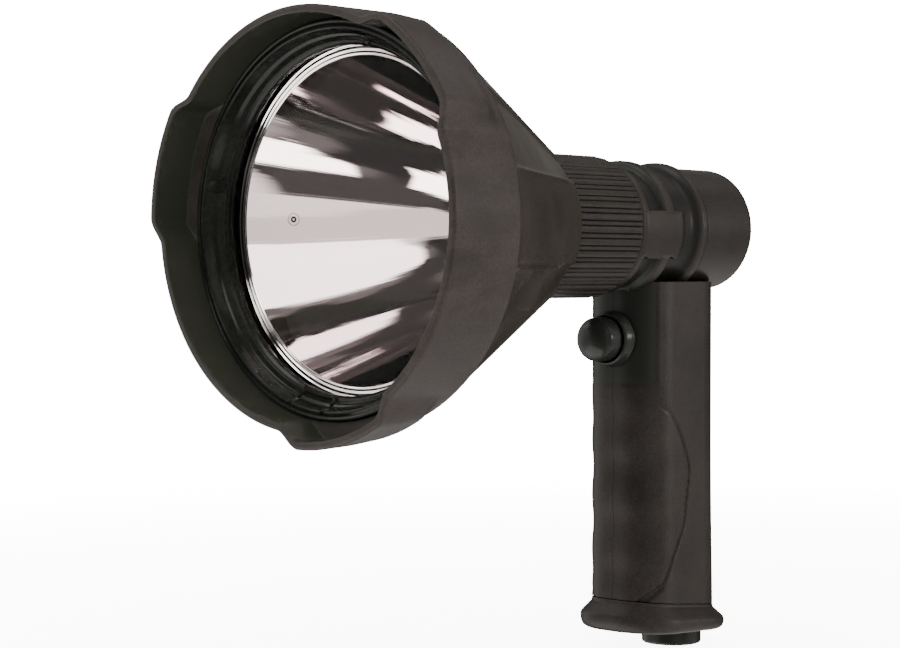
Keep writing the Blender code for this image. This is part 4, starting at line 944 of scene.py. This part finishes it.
# %% Button
ring = lathe("button_collar", [
    (6.8, 9.6, 0.2), (6.8, -1.2, 0.2), (7.45, -1.4, 0.1), (7.45, -3.6, 0.2), (8, -4.1, 0.3),
    (8.6, -3.5, 0.6), (9, -1.2, 0.8), (9.3, -0.3, 0.2), (8.3, -0.3, 0.1), (8.3, 9.6, 0.2)],
    128, button_point, span=0.6)
dressed(ring, rubber_black, "rubber_black", "torch", "button_ring")

DOME_RADIUS, DOME_RISE, DOME_START = 7.2, 4.4, -8.6
dome = [(DOME_RADIUS * math.cos(t), DOME_START - DOME_RISE * math.sin(t), 0)
        for t in np.linspace(math.pi / 2, 0, 20)[1:]]
cap = lathe("domed_button", [(0, DOME_START - DOME_RISE, 0)] + dome + [
    (DOME_RADIUS, -4.2, 0.3), (6.4, -3.6, 0.4), (6.4, 3.4, 0.3), (0, 3.4, 0)],
    128, button_point, loop=False, span=1.5)
dressed(cap, rubber_black, "rubber_black", "button", "button_cap")

# %% [markdown]
# ## Rear cap
#
# A plain round knob behind the collar turns the dimmer. It is a cup with a hub for the shaft.

# %% Rear cap
knob = lathe("dimmer_knob", [
    (0, 167.4, 0), (20.4, 167.4, 2), (20.4, 141.4, 0.5), (18.2, 141.4, 0.3), (18.2, 165.2, 0.5),
    (6.5, 165.2, 0.3), (6.5, 147.6, 0.2), (3.3, 147.6, 0.1), (3.3, 165.2, 0.1), (0, 165.2, 0)],
    192, loop=False, span=1.5)
dressed(knob, shell_black, "shell_black", "dimmer", "rear_cap")

# %% [markdown]
# ## Parts inside
#
# The neck tube, the light's carrier, the cells and the rest keep their CAD shapes and get real finishes.
# Through the mirror's hole the LED can be seen on its board.

# %% Finishes for the CAD parts
INNER_FINISHES = [
    (aluminium, "neck_tube", "heat_sink"), (rubber_black, "neck_seal", "lens_gasket"),
    (steel, "focus_pin", "handle_screw", "button_nut", "button_spring", "dimmer_"),
    (inner_black, "switch_body", "battery_tray", "charge_socket"), (nickel, "terminal_strip", "bridge_strip"),
    (board_white, "led_board"), (phosphor, "led_emitter"), (board_green, "driver_board"),
    (cell_wrap, "battery_cell")]

shown = {name: node for name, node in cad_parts.items() if not node.hide_render}
bare = set(shown)
for finish, *starts in INNER_FINISHES:
    for name in [name for name in shown if name.startswith(tuple(starts))]:
        bare.discard(name)
        for place in shown[name].material_slots:
            place.link = "OBJECT"
            place.material = finish
print("CAD parts kept:", len(shown), "without a finish:", sorted(bare))

# %% [markdown]
# ## Floor, backdrop and light
#
# The photo is a studio shot on white. A mirror bowl shows all that stands before it, so the room is a product
# tent: bright cloth on the left and below, a grey side on the right, and black cards that draw crisp dark
# shapes in the mirror. It is one function of azimuth and elevation. The floor is only for the camera, and
# other rays pass through it to the tent's own cloth below.

# %% Floor
def floor_finish():
    """Pale vinyl sheet that burns out to pure white with the distance, as a studio sweep does."""
    finish, tree, shader = new_finish("matt_white_vinyl", Roughness=0.8)
    speck = noise(tree, object_place(tree), per_metre(5))
    tone = mixed(tree, speck, linear("#F4F3F1"), linear("#FBFAF9"))
    reach = vector(tree, "LENGTH", object_place(tree))
    feed(tree, shader, Base_Color=tone, Emission_Color=tone,
         Emission_Strength=remapped(tree, reach, 0.10, 0.9, 9, 18, "SMOOTHSTEP"))
    return finish


turns = np.linspace(0, TAU, 96, endpoint=False)[None, :]
rings = np.array([0, 0.2, 0.5, 1, 2, 4, 8, 8, 0])[:, None]
levels = np.array([0] * 7 + [-0.02] * 2)[:, None]
floor = shell_of("floor", plug_point(rings, levels, turns), False)
floor.data.materials.append(floor_finish())
for rays in ("visible_diffuse", "visible_glossy", "visible_transmission"):
    setattr(floor, rays, False)
floor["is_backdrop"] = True
print("floor ready:", len(floor.data.polygons), "faces")

# %% The tent
# Each card: azimuth and elevation of its middle, half its width and height, its tilt, the softness of its
# edge, all in degrees, and its brightness. Azimuth 0 is straight in front of the lens, + to the right. The
# room is swung round by SWING, so that the jump from -180 to 180 falls in the plain white cloth on the left.
# Under the cards the brightness steps from LEFT_LEVEL to RIGHT_LEVEL between the two azimuths of STEP.
CARDS = [
    ("white_left_low", -25, -46, 62, 24, -26, 8, 5.2),
    ("top_light", -16, 74, 32, 28.5, 25, 5, 9),
    ("black_cloth", 1, 22, 50, 16, -25, 12, 0.1),
    ("frame_of_window", 20.5, 9, 32, 40, -19, 12, 0.04),
    ("window", 6, 27.5, 13, 7, 7, 6, 9),
    ("black_table_edge", 21, -22, 25, 13.5, -15, 3, 0.07),
    ("grey_right", 65, -30, 16, 38, 0, 6, 0.7),
    ("grey_right_above", 66, 35, 13.5, 27, 0, 4, 1),
    ("pale_wall", -42.5, -6, 31, 13.5, 20, 8, 1.6),
    ("upper_right", 58.5, 76, 49, 27.5, -24, 12, 0.8),
    ("left_strip", -73.5, 52, 8, 27, 20, 2, 5.2),
    ("streak_on_table", 15.5, -18.5, 13.5, 4, -16, 11, 0.17),
    ("white_left", -88, 5, 16, 90, 0, 8, 1.6),
    ("right_cloth", 126, 0, 26, 46, 0, 24, 1.2),
    ("black_back", 205, -10, 44, 50, 0, 20, 0.1),
    ("grey_back", 205, 55, 44, 25, 0, 20, 0.35),
    ("strip_at_back", 214, 15, 14, 5, 0, 6, 0.5),
    ("pale_floor", 150, -60, 75, 35, 0, 16, 1.6),
    ("small_window_right", 122, 9, 7, 5, 0, 3, 26),
]
LEFT_LEVEL, RIGHT_LEVEL = 2.2, 0.27
STEP = (-20, -15)
SWING = 80
WHITE_OUT = 18


def laid_on(tree, azimuth, elevation, level, card):
    """Mix one card into the brightness. Inside it both turned distances are less than the half sizes."""
    name, middle_azimuth, middle_elevation, half_width, half_height, tilt, soft, bright = card
    cosine, sine = math.cos(math.radians(tilt)), math.sin(math.radians(tilt))
    right = number(tree, "SUBTRACT", azimuth, math.radians(middle_azimuth - SWING))
    up = number(tree, "SUBTRACT", elevation, math.radians(middle_elevation))
    edges = []
    for by_right, by_up, half in ((cosine, sine, half_width), (-sine, cosine, half_height)):
        off = number(tree, "MULTIPLY_ADD", up, by_up, number(tree, "MULTIPLY", right, by_right))
        edges.append(remapped(tree, number(tree, "ABSOLUTE", off), math.radians(half - soft / 4),
                              math.radians(half + soft / 4), 1, 0, "SMOOTHSTEP"))
    node = add_node(tree, "ShaderNodeMix", {"Factor": all_of(tree, *edges), "A": level, "B": bright},
                    data_type="FLOAT", label=name)
    return node.outputs[0]


def tent():
    """The room as a brightness over directions. Cards are laid on in order, each over the last."""
    world = bpy.data.worlds.new("product_tent")
    world.use_nodes = True
    tree = world.node_tree
    aim = add_node(tree, "ShaderNodeTexCoord").outputs["Generated"]
    swung = add_node(tree, "ShaderNodeVectorRotate", {"Vector": aim, "Angle": -math.radians(SWING)},
                     rotation_type="Z_AXIS")
    part = add_node(tree, "ShaderNodeSeparateXYZ", {0: swung.outputs[0]}).outputs
    azimuth = number(tree, "ARCTAN2", part["X"], number(tree, "MULTIPLY", part["Y"], -1))
    elevation = number(tree, "ARCSINE", part["Z"])
    level = remapped(tree, azimuth, math.radians(STEP[0] - SWING), math.radians(STEP[1] - SWING),
                     LEFT_LEVEL, RIGHT_LEVEL, "SMOOTHSTEP")
    for card in CARDS:
        level = laid_on(tree, azimuth, elevation, level, card)
    room = tree.nodes["Background"]
    room.inputs["Color"].default_value = linear("#FFFBF8")
    tree.links.new(level, room.inputs["Strength"])
    white = add_node(tree, "ShaderNodeBackground", {"Color": linear("#FFFFFF"), "Strength": WHITE_OUT})
    seen = add_node(tree, "ShaderNodeLightPath").outputs["Is Camera Ray"]
    both = add_node(tree, "ShaderNodeMixShader", {0: seen, 1: room.outputs[0], 2: white.outputs[0]})
    tree.links.new(both.outputs[0], tree.nodes["World Output"].inputs["Surface"])
    return world


scene = bpy.context.scene
scene.world = tent()
print("tent with", len(CARDS), "cards and", len(scene.world.node_tree.nodes), "nodes")

# %% Lamps
HEAD_PLACE, BOX_PLACE = Vector((0, -0.12, 0.14)), Vector((0.25, 0.55, 0.95))
BOX_WIDTH, BOX_HEIGHT, BOX_WATTS = 0.5, 0.4, 1.2
# Four very soft suns: azimuth, elevation and strength. They light the plastics evenly and stay out of every
# reflection, so that the mirror shows the cards alone.
FILL_WIDTH = math.radians(140)
FILLS = {"fill_right": (75, 0, 4.9), "fill_below": (90, -70, 2), "fill_top": (200, 60, 2.2),
         "fill_left": (-120, 10, 2)}


def new_lamp(name, kind, source, **settings):
    """A lamp that shines from the side that a vector points to."""
    data = bpy.data.lights.new(name, kind)
    for key, value in settings.items():
        setattr(data, key, value)
    lamp = bpy.data.objects.new(name, data)
    lamp.rotation_euler = source.to_track_quat("Z", "Y").to_euler()
    scene.collection.objects.link(lamp)
    return lamp


softbox = new_lamp("top_back", "AREA", BOX_PLACE - HEAD_PLACE, shape="RECTANGLE", size=BOX_WIDTH,
                   size_y=BOX_HEIGHT, energy=BOX_WATTS)
softbox.location = BOX_PLACE
softbox.visible_camera = False
for name, (azimuth, elevation, strength) in FILLS.items():
    az, el = math.radians(azimuth), math.radians(elevation)
    source = Vector((math.sin(az) * math.cos(el), -math.cos(az) * math.cos(el), math.sin(el)))
    sun = new_lamp(name, "SUN", source, energy=strength, angle=FILL_WIDTH)
    sun.visible_glossy = sun.visible_transmission = False

# %% [markdown]
# ## Camera
#
# The view was fitted to the ellipses of the lens and to the straight edges of the grip: 43 degrees round
# from straight ahead, a little below the lamp's axis, with an 88 mm lens.

# %% Camera
YAW, PITCH = math.radians(-43), math.radians(-1.32)
CAMERA_PLACE = (0.45195, -0.5949, 0.12495)
FOCAL_LENGTH, SENSOR_WIDTH = 87.78, 36

camera_data = bpy.data.cameras.new("camera")
camera_data.lens = FOCAL_LENGTH
camera_data.sensor_width = SENSOR_WIDTH
camera_data.clip_start = 0.01
camera = bpy.data.objects.new("camera", camera_data)
camera.location = CAMERA_PLACE
forward = Vector((math.sin(YAW) * math.cos(PITCH), math.cos(YAW) * math.cos(PITCH), math.sin(PITCH)))
camera.rotation_euler = forward.to_track_quat("-Z", "Y").to_euler()
scene.collection.objects.link(camera)
scene.camera = camera
print("camera looks along", [round(v, 3) for v in forward])

# %% [markdown]
# ## The size of the dressed torch
#
# The box round everything shown is worked out, and the new faces are counted. The
# dressed torch has to stay inside the CAD box.

# %% Size and faces
low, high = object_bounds()
print("new faces:", sum(len(p.data.polygons) for p in pieces))
